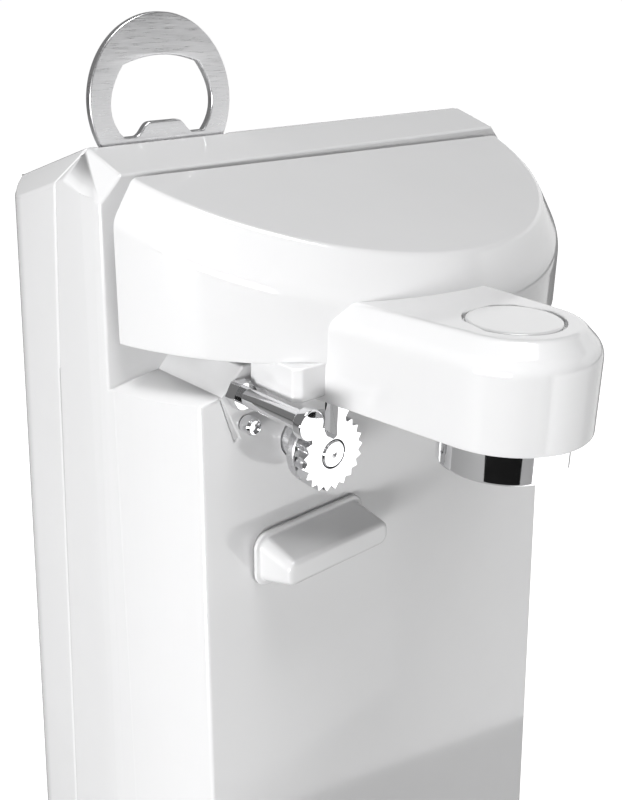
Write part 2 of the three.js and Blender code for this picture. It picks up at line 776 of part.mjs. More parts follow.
function roundedRect(x0, x1, z0, z1, radius, steps) {
  const right = Math.PI / 2;
  return [
    ...arc(x1 - radius, z0 + radius, radius, -right, 0, steps),
    ...arc(x1 - radius, z1 - radius, radius, 0, right, steps),
    ...arc(x0 + radius, z1 - radius, radius, right, 2 * right, steps),
    ...arc(x0 + radius, z0 + radius, radius, 2 * right, 3 * right, steps),
  ];
}

function canGuide() {
  const back = panelY(guideBackBottom) - clear;
  const flangeFront = back - 1.2;
  const level = (grow, y, z0, z1, radius) => roundedRect(
    guideLeft - grow, guideRight + grow, z0 - grow, z1 + grow, radius, 5,
  ).map(([x, z]) => [x, y, z]);
  const body = loftY([
    level(-1.3, guideEndY, guideFrontBottom, guideFrontTop, 1.2),
    level(-0.4, guideEndY + 0.5, guideFrontBottom, guideFrontTop, 2),
    level(0, guideEndY + 1.6, guideFrontBottom, guideFrontTop, 2.5),
    level(0.2, flangeFront, guideBackBottom, guideBackTop, 3.2),
    level(1.4, flangeFront, guideBackBottom, guideBackTop, 4),
    level(1.4, back, guideBackBottom, guideBackTop, 4),
  ]);
  return joined(body, ...guideStuds(guideStudR, back - 1, 5));
}

function guideStuds(radius, y0, y1) {
  const z = (guideBackTop + guideBackBottom) / 2;
  const places = [guideLeft + guideStudInset, guideRight - guideStudInset];
  return places.map((x) => cylinderY(radius, x, z, y0, y1, 16));
}

// the same as loft, for rings that are given from front to back
function loftY(rings) {
  const turned = rings.map((ring) => ring.map(([x, y, z]) => [x, z, -y]));
  return loft(turned.reverse()).rotate([90, 0, 0]);
}

function wheelOutline() {
  const points = [];
  for (let i = 0; i < wheelTeeth; i += 1) {
    const angle = (2 * Math.PI * i) / wheelTeeth;
    const next = angle + Math.PI / wheelTeeth;
    points.push([wheelTipR * Math.cos(angle), wheelTipR * Math.sin(angle)]);
    points.push([wheelRootR * Math.cos(next), wheelRootR * Math.sin(next)]);
  }
  return points.map(([x, z]) => [wheelX + x, wheelZ + z]);
}

function driveWheel() {
  const back = wheelFrontY + wheelThick;
  const bore = cylinderY(shaftR + clear, wheelX, wheelZ, wheelFrontY - 1, back + 1);
  return cut(prismY(wheelOutline(), wheelFrontY, back), bore);
}

function driveShaft() {
  const front = wheelFrontY - 0.25;
  const end = middleFaceY - 0.6;
  return turnedY([
    [0, front], [shaftR - 0.3, front], [shaftR, front + 0.3], [shaftR, end], [0, end],
  ], wheelX, wheelZ);
}

function shaftBushing() {
  const flangeFront = wheelFrontY + wheelThick + 0.4;
  const flangeBack = flangeFront + bushingFlangeThick;
  const end = frontPlateY + plateThick + 1;
  const bore = shaftR + runClear;
  return turnedY([
    [bore, flangeFront], [bushingFlangeR - 0.8, flangeFront], [bushingFlangeR, flangeFront + 0.8],
    [bushingFlangeR, flangeBack - 0.4], [bushingFlangeR - 0.4, flangeBack], [bushingR, flangeBack],
    [bushingR, end], [bore, end], [bore, flangeFront],
  ], wheelX, wheelZ);
}

function shaftClip() {
  const start = outputFaceY + gearFace + 1 + 0.3;
  const ring = turnedY([
    [shaftR + 0.1, start], [shaftR + 2.4, start], [shaftR + 2.4, start + 0.8], [shaftR + 0.1, start + 0.8],
    [shaftR + 0.1, start],
  ], wheelX, wheelZ, 24);
  return cut(ring, block(wheelX - 1.2, wheelX + 1.2, start - 1, start + 2, wheelZ - 10, wheelZ));
}

// ---------------------------------------------------------------------------------------------
// Gear train and its frame

function outputGear() {
  const end = outputFaceY + gearFace + 1;
  return gearBody(outputTeeth, outputAt, outputFaceY, end, middleAt.angle, true, shaftR + 0.1);
}

function middleGear() {
  const bore = axleR + clear;
  const pinion = gearBody(
    pinionTeeth, middleAt, outputFaceY, middleFaceY + 0.2, middleAt.angle + Math.PI, false, bore,
  );
  return joined(
    gearBody(middleTeeth, middleAt, middleFaceY, middleFaceY + gearFace, firstAt.angle, true, bore), pinion,
  );
}

function firstGear() {
  const bore = axleR + clear;
  const pinion = gearBody(
    pinionTeeth, firstAt, middleFaceY - 0.4, firstFaceY + 0.2, firstAt.angle + Math.PI, false, bore,
  );
  return joined(
    gearBody(firstTeeth, firstAt, firstFaceY, firstFaceY + gearFace, rotorAt.angle, true, bore), pinion,
  );
}

function motorPinion() {
  const start = firstFaceY - 1;
  const end = firstFaceY + gearFace + 1;
  return gearBody(pinionTeeth, rotorAt, start, end, rotorAt.angle + Math.PI, false, axleR + 0.1);
}

function platePlan(spots, grow) {
  const xs = spots.map((spot) => spot.x);
  const zs = spots.map((spot) => spot.z);
  return roundedRect(
    Math.min(...xs) - grow, Math.max(...xs) + grow, Math.min(...zs) - grow, Math.max(...zs) + grow, 4, 3,
  );
}

const boltSpots = [-20, 20].map((dx) => ({ x: rotorAt.x + dx, z: rotorAt.z }));

function frontPlate() {
  const plan = platePlan([...plateSpots, outputAt], plateGrow + 2);
  const plate = prismY(plan, frontPlateY, frontPlateY + plateThick);
  const hole = (spot, radius) => cylinderY(radius, spot.x, spot.z, frontPlateY - 1, frontPlateY + 5, 24);
  return cut(
    plate, hole(outputAt, bushingR + clear), hole(middleAt, axleR + 0.1), hole(firstAt, axleR + 0.1),
    ...plateSpots.map((spot) => hole(spot, screwR + clear)),
  );
}

function rearPlate() {
  const plan = platePlan([...plateSpots, ...boltSpots], plateGrow);
  const plate = prismY(plan, rearPlateY, rearPlateY + plateThick);
  const hole = (spot, radius) => cylinderY(radius, spot.x, spot.z, rearPlateY - 1, rearPlateY + 5, 24);
  return cut(
    plate, hole(firstAt, axleR + 0.1), hole(rotorAt, axleR + runClear + 0.3),
    ...plateSpots.map((spot) => hole(spot, screwR + clear)),
    ...boltSpots.map((spot) => hole(spot, screwR + clear)),
  );
}

function standoff(spot) {
  const y0 = frontPlateY + plateThick + clear;
  const y1 = rearPlateY - clear;
  return cut(
    cylinderY(3.4, spot.x, spot.z, y0, y1, 6),
    cylinderY(screwR + clear, spot.x, spot.z, y0 - 1, y1 + 1, 12),
  );
}

function frameScrew(spot) {
  const tip = frontPlateY - 0.2;
  const head = rearPlateY + plateThick + clear;
  return turnedY([
    [0, tip], [screwR, tip], [screwR, head], [screwHead, head], [screwHead, head + 1.4],
    [screwHead - 0.8, head + 2], [0, head + 2],
  ], spot.x, spot.z, 8);
}

function axle(centre, end) {
  return turnedY([[0, 6.6], [axleR, 6.6], [axleR, end], [0, end]], centre.x, centre.z, 16);
}

// ---------------------------------------------------------------------------------------------
// Motor

function motorCore() {
  const y1 = coreFrontY + coreDepth;
  const { x, z } = rotorAt;
  const stack = prismY(
    roundedRect(x - coreHalf, x + coreHalf, z - coreDown, z + coreUp, 3, 3), coreFrontY, y1,
  );
  const window = block(x - 16, x + 16, coreFrontY - 1, y1 + 1, z - coreDown + 11, z - rotorR - 7);
  const bore = cylinderY(rotorR + 0.7, x, z, coreFrontY - 1, y1 + 1, 40);
  const slots = [-1, 1].map((side) => block(
    x + side * (rotorR + 1) - 2, x + side * (rotorR + 1) + 2, coreFrontY - 1, y1 + 1, z - 1, z + 1,
  ));
  const bolt = (spot) => cylinderY(screwR + clear, spot.x, spot.z, coreFrontY - 1, y1 + 1, 12);
  return cut(stack, window, bore, ...slots, ...boltSpots.map(bolt));
}

function motorCoil() {
  const { x, z } = rotorAt;
  const legTop = z - coreDown + 11;
  const legBottom = z - coreDown;
  const outer = prismZ(
    roundedRect(x - 13, x + 13, coreFrontY - coilDeep, coreFrontY + coreDepth + coilDeep, 4, 4),
    legBottom - coilDeep, legTop + coilDeep,
  );
  const hole = block(
    x - 20, x + 20, coreFrontY - clear, coreFrontY + coreDepth + clear, legBottom - clear, legTop + clear,
  );
  return cut(outer, hole);
}

function prismZ(outline, z0, z1) {
  const geometry = new THREE.ExtrudeGeometry(shapeOf(outline), { depth: z1 - z0, bevelEnabled: false });
  geometry.translate(0, 0, z0);
  return solid(geometry);
}

function motorRotor() {
  const y1 = coreFrontY + coreDepth;
  return turnedY([
    [0, firstFaceY - 3], [axleR, firstFaceY - 3], [axleR, coreFrontY - 1], [rotorR - 2, coreFrontY - 1],
    [rotorR, coreFrontY + 0.5], [rotorR, y1 - 0.5], [rotorR - 2, y1 + 1], [axleR, y1 + 1],
    [axleR, y1 + 7], [0, y1 + 7],
  ], rotorAt.x, rotorAt.z, 36);
}

function rearBracket() {
  const y0 = coreFrontY + coreDepth + 3;
  const { x, z } = rotorAt;
  const plate = prismY(roundedRect(x - coreHalf, x + coreHalf, z - 7, z + 7, 3, 3), y0, y0 + plateThick);
  const cup = cylinderY(6, x, z, y0, y0 + 3.5, 24);
  return cut(
    joined(plate, cup), cylinderY(axleR + runClear, x, z, y0 - 1, y0 + 5, 24),
    ...boltSpots.map((spot) => cylinderY(screwR + clear, spot.x, spot.z, y0 - 1, y0 + 3, 12)),
  );
}

function motorBolt(spot) {
  const head = coreFrontY + coreDepth + 3 + plateThick + clear;
  return turnedY([
    [0, rearPlateY - 3], [screwR, rearPlateY - 3], [screwR, head], [screwHead, head],
    [screwHead, head + 1.6], [0, head + 1.6],
  ], spot.x, spot.z, 8);
}

// ---------------------------------------------------------------------------------------------
// Switch and inlet

function switchBody() {
  const box = block(switchX - 9, switchX + 9, recessY + wall + 1, switchY + 4, switchTop - 11, switchTop);
  const bore = block(switchX - 2, switchX + 2, switchY - 2, switchY + 2, switchTop - 7, switchTop + 1);
  return cut(box, bore);
}

function switchPlunger() {
  const half = 1.7;
  const left = switchX - half;
  return block(left, left + 2 * half, switchY - half, switchY + half, switchTop - 4.6, tabBottom - 2.4);
}

function cordInlet() {
  const outside = backAt(inletZ);
  const end = outside + inletProud;
  const start = outside - 6;
  const groove = inletWallR - clear;
  const rim = inletWallR + 2;
  return turnedY([
    [inletR, start], [rim, start], [rim, outside - wall - 0.6], [groove, outside - wall - 0.6],
    [groove, outside + 0.6], [rim, outside + 0.6], [rim, end - 1], [rim - 1, end], [inletR, end],
    [inletR, start],
  ], inletX, inletZ, 20);
}

// ---------------------------------------------------------------------------------------------
// Assembly

function finish(color, roughness, metalness) {
  return { color, roughness, metalness };
}

const finishes = {
  whitePlastic: finish(0xf2f2f2, 0.22, 0),
  polishedSteel: finish(0xd9dadc, 0.12, 1),
  brushedSteel: finish(0xc4c5c7, 0.3, 1),
  darkSteel: finish(0x6a6c70, 0.4, 1),
  zincPlate: finish(0xb9bcc0, 0.38, 1),
  nylon: finish(0xe6e2d6, 0.5, 0),
  copper: finish(0xb5622f, 0.4, 0.6),
  blackPlastic: finish(0x1c1c1e, 0.5, 0),
  rubber: finish(0x2a2a2c, 0.85, 0),
  magnet: finish(0x3a3a3c, 0.55, 0.3),
};

const assembly = new THREE.Group();
const lever = new THREE.Group();

function piece(parent, name, body, look, place = [0, 0, 0]) {
  const mesh = new THREE.Mesh(geometryOf(body), new THREE.MeshStandardMaterial(finishes[look]));
  mesh.name = name;
  mesh.position.set(...place);
  parent.add(mesh);
}

piece(assembly, 'front_housing', frontHousing(), 'whitePlastic');
piece(assembly, 'rear_cover', rearCover(), 'whitePlastic');
piece(assembly, 'base_plate', basePlate(), 'whitePlastic');
for (const spot of footSpots) {
  piece(assembly, `foot_${spot.name}`, foot(), 'rubber', [spot.x, spot.y, 0]);
}
coverScrews.forEach((spot, i) => {
  const seat = backAt(spot.z) - screwSink + 3 + clear;
  piece(assembly, `cover_screw_${i + 1}`, coverScrew(), 'zincPlate', [spot.x, seat, spot.z]);
});
piece(assembly, 'bottle_opener', bottleOpener(), 'brushedSteel');
piece(assembly, 'pivot_pin', pivotPin(), 'zincPlate');
piece(assembly, 'pivot_clip', pivotClip(), 'darkSteel');
piece(assembly, 'locating_post', locatingPost(), 'polishedSteel');
piece(assembly, 'locating_pin', locatingPin(), 'polishedSteel');
piece(assembly, 'can_guide', canGuide(), 'whitePlastic');
piece(assembly, 'drive_wheel', driveWheel(), 'polishedSteel');
piece(assembly, 'drive_shaft', driveShaft(), 'polishedSteel');
piece(assembly, 'shaft_bushing', shaftBushing(), 'brushedSteel');
piece(assembly, 'shaft_clip', shaftClip(), 'darkSteel');
piece(assembly, 'output_gear', outputGear(), 'nylon');
piece(assembly, 'middle_gear', middleGear(), 'nylon');
piece(assembly, 'first_gear', firstGear(), 'nylon');
piece(assembly, 'middle_axle', axle(middleAt, middleFaceY + gearFace + 1), 'zincPlate');
piece(assembly, 'first_axle', axle(firstAt, rearPlateY + plateThick + 1), 'zincPlate');
piece(assembly, 'gear_plate_front', frontPlate(), 'zincPlate');
piece(assembly, 'gear_plate_rear', rearPlate(), 'zincPlate');
plateSpots.forEach((spot, i) => {
  piece(assembly, `plate_spacer_${i + 1}`, standoff(spot), 'zincPlate');
  piece(assembly, `plate_screw_${i + 1}`, frameScrew(spot), 'zincPlate');
});
piece(assembly, 'motor_core', motorCore(), 'darkSteel');
piece(assembly, 'motor_coil', motorCoil(), 'copper');
piece(assembly, 'motor_rotor', motorRotor(), 'brushedSteel');
piece(assembly, 'motor_pinion', motorPinion(), 'darkSteel');
piece(assembly, 'motor_bracket', rearBracket(), 'zincPlate');
boltSpots.forEach((spot, i) => {
  piece(assembly, `motor_bolt_${i + 1}`, motorBolt(spot), 'zincPlate');
});
piece(assembly, 'switch_body', switchBody(), 'blackPlastic');
piece(assembly, 'switch_plunger', switchPlunger(), 'blackPlastic');
piece(assembly, 'cord_inlet', cordInlet(), 'rubber');

piece(lever, 'lever_shell', leverShell(), 'whitePlastic');
piece(lever, 'lever_cover', headCover(), 'whitePlastic');
piece(lever, 'arm_cover', armCover(), 'whitePlastic');
piece(lever, 'magnet_cap', magnetCap(), 'whitePlastic', [magnetX, magnetY, armTop]);
piece(lever, 'magnet_cup', magnetCup(), 'polishedSteel', [magnetX, magnetY, cupBottom]);
piece(lever, 'magnet', magnetDisc(), 'magnet', [magnetX, magnetY, cupBottom]);
piece(lever, 'knife', knife(), 'polishedSteel');
piece(lever, 'knife_screw', knifeScrew(), 'zincPlate', [
  (knifeLeft + knifeRight) / 2, knifeFront + knifeThick / 2, knifeTop - 5.2,
]);

// the lowered lever dips slightly to the right about its pivot
const tilted = new THREE.Group();
tilted.position.set(pivotX, 0, pivotZ);
tilted.rotation.y = THREE.MathUtils.degToRad(leverTilt);
lever.position.set(-pivotX, 0, -pivotZ);
tilted.add(lever);
assembly.add(tilted);

// the origin stands midway between the back of the base and the tip of the arm
const tipY = magnetY - armEndR;
const rearmostY = backAt(inletZ) + inletProud;
assembly.position.y = -(rearmostY + tipY) / 2;

const canOpener = new THREE.Group();
canOpener.add(assembly);

export default canOpener;
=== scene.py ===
import json
import math

import bmesh
import bpy
from mathutils import Matrix, Vector

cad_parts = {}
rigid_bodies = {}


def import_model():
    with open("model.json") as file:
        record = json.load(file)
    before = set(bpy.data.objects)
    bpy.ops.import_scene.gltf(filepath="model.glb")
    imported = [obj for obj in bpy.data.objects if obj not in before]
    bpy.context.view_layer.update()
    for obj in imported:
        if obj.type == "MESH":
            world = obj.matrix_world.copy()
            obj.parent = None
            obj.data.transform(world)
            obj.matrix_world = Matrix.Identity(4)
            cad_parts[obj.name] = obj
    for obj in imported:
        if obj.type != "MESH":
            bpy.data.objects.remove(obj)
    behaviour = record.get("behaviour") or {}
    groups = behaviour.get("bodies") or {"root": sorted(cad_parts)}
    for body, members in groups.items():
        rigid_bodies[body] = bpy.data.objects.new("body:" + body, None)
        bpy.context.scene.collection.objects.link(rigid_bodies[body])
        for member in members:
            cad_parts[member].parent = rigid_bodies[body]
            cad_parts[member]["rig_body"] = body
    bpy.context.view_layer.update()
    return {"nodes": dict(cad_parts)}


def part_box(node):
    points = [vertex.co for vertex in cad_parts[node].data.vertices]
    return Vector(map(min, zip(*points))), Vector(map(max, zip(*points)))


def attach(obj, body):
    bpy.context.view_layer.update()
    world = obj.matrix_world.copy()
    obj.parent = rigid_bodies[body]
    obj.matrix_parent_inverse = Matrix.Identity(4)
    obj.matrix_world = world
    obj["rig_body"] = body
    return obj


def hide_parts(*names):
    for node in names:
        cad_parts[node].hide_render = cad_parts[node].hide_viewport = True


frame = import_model()

MM = 0.001
scene = bpy.context.scene

# how bright each part of the studio is
FLOOR_GLOW = 0.97
FILL = 0.20
BOUNCE = 0.45
BRIGHT_CARD = 1.25
SOFT_CARD = 0.8
RIGHT_WALL = 0.85
LEFT_POWER = 16
TOP_POWER = 14

CAMERA_SPOT = (-0.1859, -0.18125, 0.2925)
CAMERA_YAW, CAMERA_DOWN, CAMERA_ROLL = 42.17, 22.18, 0.34
CAMERA_LENS, CAMERA_SENSOR = 46.04, 36

# the part of a noise's range that the finishes spread out
NOISE_LOW, NOISE_HIGH = 0.3, 0.7

# ------------------------------------------------------------------------------------------
# Camera, floor and light


def make_camera():
    """The camera at the photograph's viewing angle."""
    yaw, down = math.radians(CAMERA_YAW), math.radians(CAMERA_DOWN)
    roll = math.radians(CAMERA_ROLL)
    ahead = math.cos(down)
    forward = Vector((math.sin(yaw) * ahead, math.cos(yaw) * ahead, -math.sin(down)))
    level = Vector((math.cos(yaw), -math.sin(yaw), 0))
    above = level.cross(forward)
    right = math.cos(roll) * level + math.sin(roll) * above
    up = math.cos(roll) * above - math.sin(roll) * level
    turn = Matrix((right, up, -forward)).transposed().to_4x4()
    data = bpy.data.cameras.new("camera")
    data.lens = CAMERA_LENS
    data.sensor_width = CAMERA_SENSOR
    data.clip_start = 0.01
    data.clip_end = 100
    camera = bpy.data.objects.new("camera", data)
    scene.collection.objects.link(camera)
    camera.matrix_world = Matrix.Translation(CAMERA_SPOT) @ turn
    scene.camera = camera


def area_light(name, spot, target, size, power):
    """A rectangular softbox at a spot, aimed at a target, all in metres."""
    data = bpy.data.lights.new(name, "AREA")
    data.shape = "RECTANGLE"
    data.size, data.size_y = size
    data.energy = power
    light = bpy.data.objects.new(name, data)
    scene.collection.objects.link(light)
    light.location = spot
    aim = Vector(target) - Vector(spot)
    light.rotation_euler = aim.to_track_quat("-Z", "Y").to_euler()


def card(name, corners, base, glow):
    """A flat sheet of the studio, through its corners in metres."""
    mesh = bpy.data.meshes.new(name)
    mesh.from_pydata(corners, [], [tuple(range(len(corners)))])
    made = bpy.data.objects.new(name, mesh)
    scene.collection.objects.link(made)
    paint = bpy.data.materials.new(name + "_paint")
    paint.use_nodes = True
    shader = paint.node_tree.nodes["Principled BSDF"]
    shader.inputs["Base Color"].default_value = (base, base, base, 1)
    shader.inputs["Roughness"].default_value = 0.9
    shader.inputs["Specular IOR Level"].default_value = 0.0
    shader.inputs["Emission Color"].default_value = (1, 1, 1, 1)
    shader.inputs["Emission Strength"].default_value = glow
    mesh.materials.append(paint)
    return made


def level_card(name, outline, height, base, glow):
    """A card that lies flat at a height above the floor."""
    return card(name, [(x, y, height) for x, y in outline], base, glow)


def make_stage():
    """The floor that the camera sees, and the cards that the object sees."""
    far = 30.0
    everywhere = [(-far, -far), (far, -far), (far, far), (-far, far)]
    floor = level_card("floor", everywhere, 0.0, 0.5, FLOOR_GLOW)
    floor.visible_diffuse = False
    floor.visible_glossy = False
    # the object sees this duller card in place of the floor that the camera sees
    bounce = level_card("bounce_card", everywhere, 0.0004, BOUNCE, 0.0)
    bounce.visible_camera = False
    bounce.visible_shadow = False
    # cards that only show up in reflections: bright ones to the right, a dark one by the camera;
    # the level ones lie at different heights, so that no two share a plane
    bright = [
        (-0.03, -0.10), (0.10, -0.11), (0.24, -0.24), (1.2, -0.75), (1.6, -2.0), (0.05, -2.0),
    ]
    soft = [(-0.03, -0.10), (0.14, -0.05), (1.6, 0.3), (1.6, -2.0), (0.05, -2.0)]
    dark = [(-0.12, -0.30), (-0.30, -0.14), (-1.8, -0.10), (-1.8, -2.0), (-0.60, -2.0)]
    wall = [(2.5, -2.5, -0.3), (2.5, 2.5, -0.3), (2.5, 2.5, 1.5), (2.5, -2.5, 1.5)]
    for shown in (
        level_card("soft_card", soft, 0.0008, 0.8, SOFT_CARD),
        level_card("bright_card", bright, 0.0010, 0.8, BRIGHT_CARD),
        level_card("dark_card", dark, 0.0012, 0.01, 0.0),
        card("right_wall_card", wall, 0.8, RIGHT_WALL),
    ):
        shown.visible_camera = False
        shown.visible_diffuse = False
        shown.visible_shadow = False
        shown.visible_transmission = False


def make_light():
    """An even fill from all round and two softboxes."""
    world = bpy.data.worlds.new("studio")
    world.use_nodes = True
    background = world.node_tree.nodes["Background"]
    background.inputs["Color"].default_value = (1, 1, 1, 1)
    background.inputs["Strength"].default_value = FILL
    scene.world = world
    scene.view_settings.view_transform = "Standard"
    area_light("left_softbox", (-1.2, -0.42, 0.15), (0, 0, 0.14), (1.0, 0.25), LEFT_POWER)
    area_light("top_softbox", (-0.1, -0.3, 1.5), (0, 0, 0.2), (0.6, 0.6), TOP_POWER)


# ------------------------------------------------------------------------------------------
# Materials: each kind of finish is a function that wires one procedural material


class Finish:
    """A small builder around one material's node tree, in object coordinates."""

    def __init__(self, name, colour, roughness, metallic=0.0):
        self.material = bpy.data.materials.new(name)
        self.material.use_nodes = True
        self.tree = self.material.node_tree
        self.shader = self.tree.nodes["Principled BSDF"]
        self.shader.inputs["Base Color"].default_value = (*colour, 1)
        self.shader.inputs["Roughness"].default_value = roughness
        self.shader.inputs["Metallic"].default_value = metallic
        self.coords = self.node("ShaderNodeTexCoord").outputs["Object"]

    def node(self, kind, **values):
        made = self.tree.nodes.new(kind)
        for key, value in values.items():
            setattr(made, key, value)
        return made

    def link(self, source, target):
        self.tree.links.new(source, target)

    def noise(self, scale, detail, stretch=(1, 1, 1)):
        """Noise with features about 1/scale metres wide, drawn out along an axis by stretch."""
        mapping = self.node("ShaderNodeMapping")
        mapping.inputs["Scale"].default_value = stretch
        self.link(self.coords, mapping.inputs["Vector"])
        made = self.node("ShaderNodeTexNoise")
        made.inputs["Scale"].default_value = scale
        made.inputs["Detail"].default_value = detail
        self.link(mapping.outputs["Vector"], made.inputs["Vector"])
        return made.outputs["Fac"]

    def ranged(self, value, low, high):
        """Spreads a noise between a low and a high value."""
        made = self.node("ShaderNodeMapRange")
        made.inputs["From Min"].default_value = NOISE_LOW
        made.inputs["From Max"].default_value = NOISE_HIGH
        made.inputs["To Min"].default_value = low
        made.inputs["To Max"].default_value = high
        self.link(value, made.inputs["Value"])
        return made.outputs["Result"]

    def tint(self, value, colour_a, colour_b):
        """Blends the base colour between two colours."""
        made = self.node("ShaderNodeMix", data_type="RGBA")
        made.inputs["A"].default_value = (*colour_a, 1)
        made.inputs["B"].default_value = (*colour_b, 1)
        self.link(value, made.inputs["Factor"])
        self.link(made.outputs["Result"], self.shader.inputs["Base Color"])

    def rough(self, value):
        self.link(value, self.shader.inputs["Roughness"])

    def bump(self, height, strength, depth):
        """Adds relief; depth is the height of the relief in metres."""
        made = self.node("ShaderNodeBump")
        made.inputs["Strength"].default_value = strength
        made.inputs["Distance"].default_value = depth
        self.link(height, made.inputs["Height"])
        self.link(made.outputs["Normal"], self.shader.inputs["Normal"])


def shaded(colour, amount):
    """A colour darkened to a fraction of itself."""
    return tuple(channel * amount for channel in colour)


def gloss_plastic(name, colour, roughness, ior):
    finish = Finish(name, colour, roughness)
    finish.shader.inputs["IOR"].default_value = ior
    finish.tint(finish.ranged(finish.noise(28, 4), 0, 1), shaded(colour, 0.975), colour)
    finish.rough(finish.ranged(finish.noise(140, 5), roughness * 0.75, roughness * 1.35))
    finish.bump(finish.noise(900, 2), 0.06, 0.00002)
    return finish.material


def matte_plastic(name, colour, roughness):
    finish = Finish(name, colour, roughness)
    finish.tint(finish.ranged(finish.noise(60, 4), 0, 1), shaded(colour, 0.85), colour)
    finish.rough(finish.ranged(finish.noise(250, 3), roughness * 0.85, roughness * 1.15))
    finish.bump(finish.noise(2600, 2), 0.25, 0.00003)
    return finish.material


def polished_metal(name, colour, roughness):
    finish = Finish(name, colour, roughness, 1.0)
    finish.tint(finish.ranged(finish.noise(70, 4), 0, 1), shaded(colour, 0.93), colour)
    finish.rough(finish.ranged(finish.noise(260, 5), roughness * 0.6, roughness * 1.7))
    finish.bump(finish.noise(500, 3), 0.04, 0.00001)
    return finish.material


def grained_metal(name, colour, roughness, stretch, strength=0.25):
    finish = Finish(name, colour, roughness, 1.0)
    grain = finish.noise(4200, 3, stretch)
    finish.tint(finish.ranged(grain, 0, 1), shaded(colour, 0.9), colour)
    finish.rough(finish.ranged(grain, roughness * 0.85, roughness * 1.25))
    finish.bump(grain, strength, 0.000006)
    return finish.material


def make_looks():
    return {
        "white_plastic": gloss_plastic("white_plastic", (0.72, 0.72, 0.725), 0.1, 1.7),
        "polished_steel": polished_metal("polished_steel", (0.86, 0.86, 0.87), 0.05),
        "brushed_steel": grained_metal("brushed_steel", (0.80, 0.80, 0.81), 0.3, (0.06, 1, 1)),
        "dark_steel": grained_metal("dark_steel", (0.25, 0.25, 0.26), 0.4, (1, 1, 0.1)),
        "zinc_plate": grained_metal("zinc_plate", (0.60, 0.61, 0.62), 0.35, (1, 1, 1), 0.15),
        "nylon": matte_plastic("nylon", (0.78, 0.75, 0.66), 0.5),
        "copper": grained_metal("copper", (0.70, 0.33, 0.15), 0.35, (1, 0.05, 1), 0.6),
        "black_plastic": matte_plastic("black_plastic", (0.02, 0.02, 0.022), 0.45),
        "rubber": matte_plastic("rubber", (0.03, 0.03, 0.032), 0.8),
        "magnet": matte_plastic("magnet", (0.06, 0.06, 0.065), 0.55),
    }


# ------------------------------------------------------------------------------------------
# Mesh building


def add_object(name, mesh):
    made = bpy.data.objects.new(name, mesh)
    scene.collection.objects.link(made)
    return made


def mark_edges(shape, limit):
    """Marks the edges sharper than a limit in degrees, which stay crisp in the shading."""
    for edge in shape.edges:
        joined = len(edge.link_faces) == 2
        edge.smooth = not joined or edge.calc_face_angle() < math.radians(limit)


def crisp_edges(piece):
    """Shades a piece smoothly, but for its sharp edges."""
    shape = bmesh.new()
    shape.from_mesh(piece.data)
    for face in shape.faces:
        face.smooth = True
    mark_edges(shape, 32)
    shape.to_mesh(piece.data)
    shape.free()


def even_shading(piece):
    """Keeps large flats flat in the shading."""
    weights = piece.modifiers.new("flats", "WEIGHTED_NORMAL")
    weights.weight = 60
    weights.keep_sharp = True


def soften(piece, width):
    """Rounds the outer edges that are sharper than limit and longer than shortest."""
    limit, shortest = math.radians(20), 1.2 * MM
    shape = bmesh.new()
    shape.from_mesh(piece.data)
    marks = shape.edges.layers.float.new("bevel_weight_edge")
    for edge in shape.edges:
        if len(edge.link_faces) != 2 or not edge.is_convex:
            continue
        if edge.calc_face_angle() > limit and edge.calc_length() > shortest:
            edge[marks] = 1.0
    mark_edges(shape, 28)
    for edge in shape.edges:
        if edge[marks]:
            edge.smooth = True
    shape.to_mesh(piece.data)
    shape.free()
    rounding = piece.modifiers.new("edges", "BEVEL")
    rounding.width = width * MM
    rounding.segments = 3
    rounding.limit_method = "WEIGHT"
    rounding.use_clamp_overlap = False
    rounding.miter_outer = "MITER_ARC"
    even_shading(piece)
    return piece


def clean_copy(node, bevel):
    """A fine copy of a CAD node: flat faces joined up, slivers removed and edges rounded."""
    weld, sliver, flat = 0.00001, 0.00002, math.radians(0.8)
    made = add_object(node + "_fine", frame["nodes"][node].data.copy())
    made.data.materials.clear()
    shape = bmesh.new()
    shape.from_mesh(made.data)
    bmesh.ops.remove_doubles(shape, verts=shape.verts, dist=weld)
    bmesh.ops.dissolve_degenerate(shape, edges=shape.edges, dist=sliver)
    bmesh.ops.dissolve_limit(shape, angle_limit=flat, verts=shape.verts, edges=shape.edges)
    for face in shape.faces:
        face.smooth = True
    shape.to_mesh(made.data)
    shape.free()
    return soften(made, bevel)


def rounded(points, radius, steps=4):
    """The same open path with each inner corner replaced by a short curve."""
    made = [Vector(points[0])]
    for before, corner, after in zip(points, points[1:], points[2:]):
        before, corner, after = Vector(before), Vector(corner), Vector(after)
        reach_in = min(radius, (before - corner).length * 0.49)
        reach_out = min(radius, (after - corner).length * 0.49)
        start = corner + (before - corner).normalized() * reach_in
        end = corner + (after - corner).normalized() * reach_out
        for i in range(steps + 1):
            t = i / steps
            made.append(start * (1 - t) ** 2 + corner * (2 * t * (1 - t)) + end * t * t)
    made.append(Vector(points[-1]))
    return made


def skin(name, rings, closed=False):
    """A closed surface over rings of equal length; capped at its two ends, or closed on itself."""
    shape = bmesh.new()
    rows = [[shape.verts.new(Vector(point) * MM) for point in ring] for ring in rings]
    pairs = list(zip(rows, rows[1:]))
    if closed:
        pairs.append((rows[-1], rows[0]))
    for low, high in pairs:
        for i in range(len(low)):
            j = (i + 1) % len(low)
            shape.faces.new((low[i], low[j], high[j], high[i]))
    if not closed:
        shape.faces.new(reversed(rows[0]))
        shape.faces.new(rows[-1])
    bmesh.ops.remove_doubles(shape, verts=shape.verts, dist=0.0000005)
    bmesh.ops.recalc_face_normals(shape, faces=shape.faces)
    for face in shape.faces:
        face.smooth = True
    mesh = bpy.data.meshes.new(name)
    shape.to_mesh(mesh)
    shape.free()
    return add_object(name, mesh)


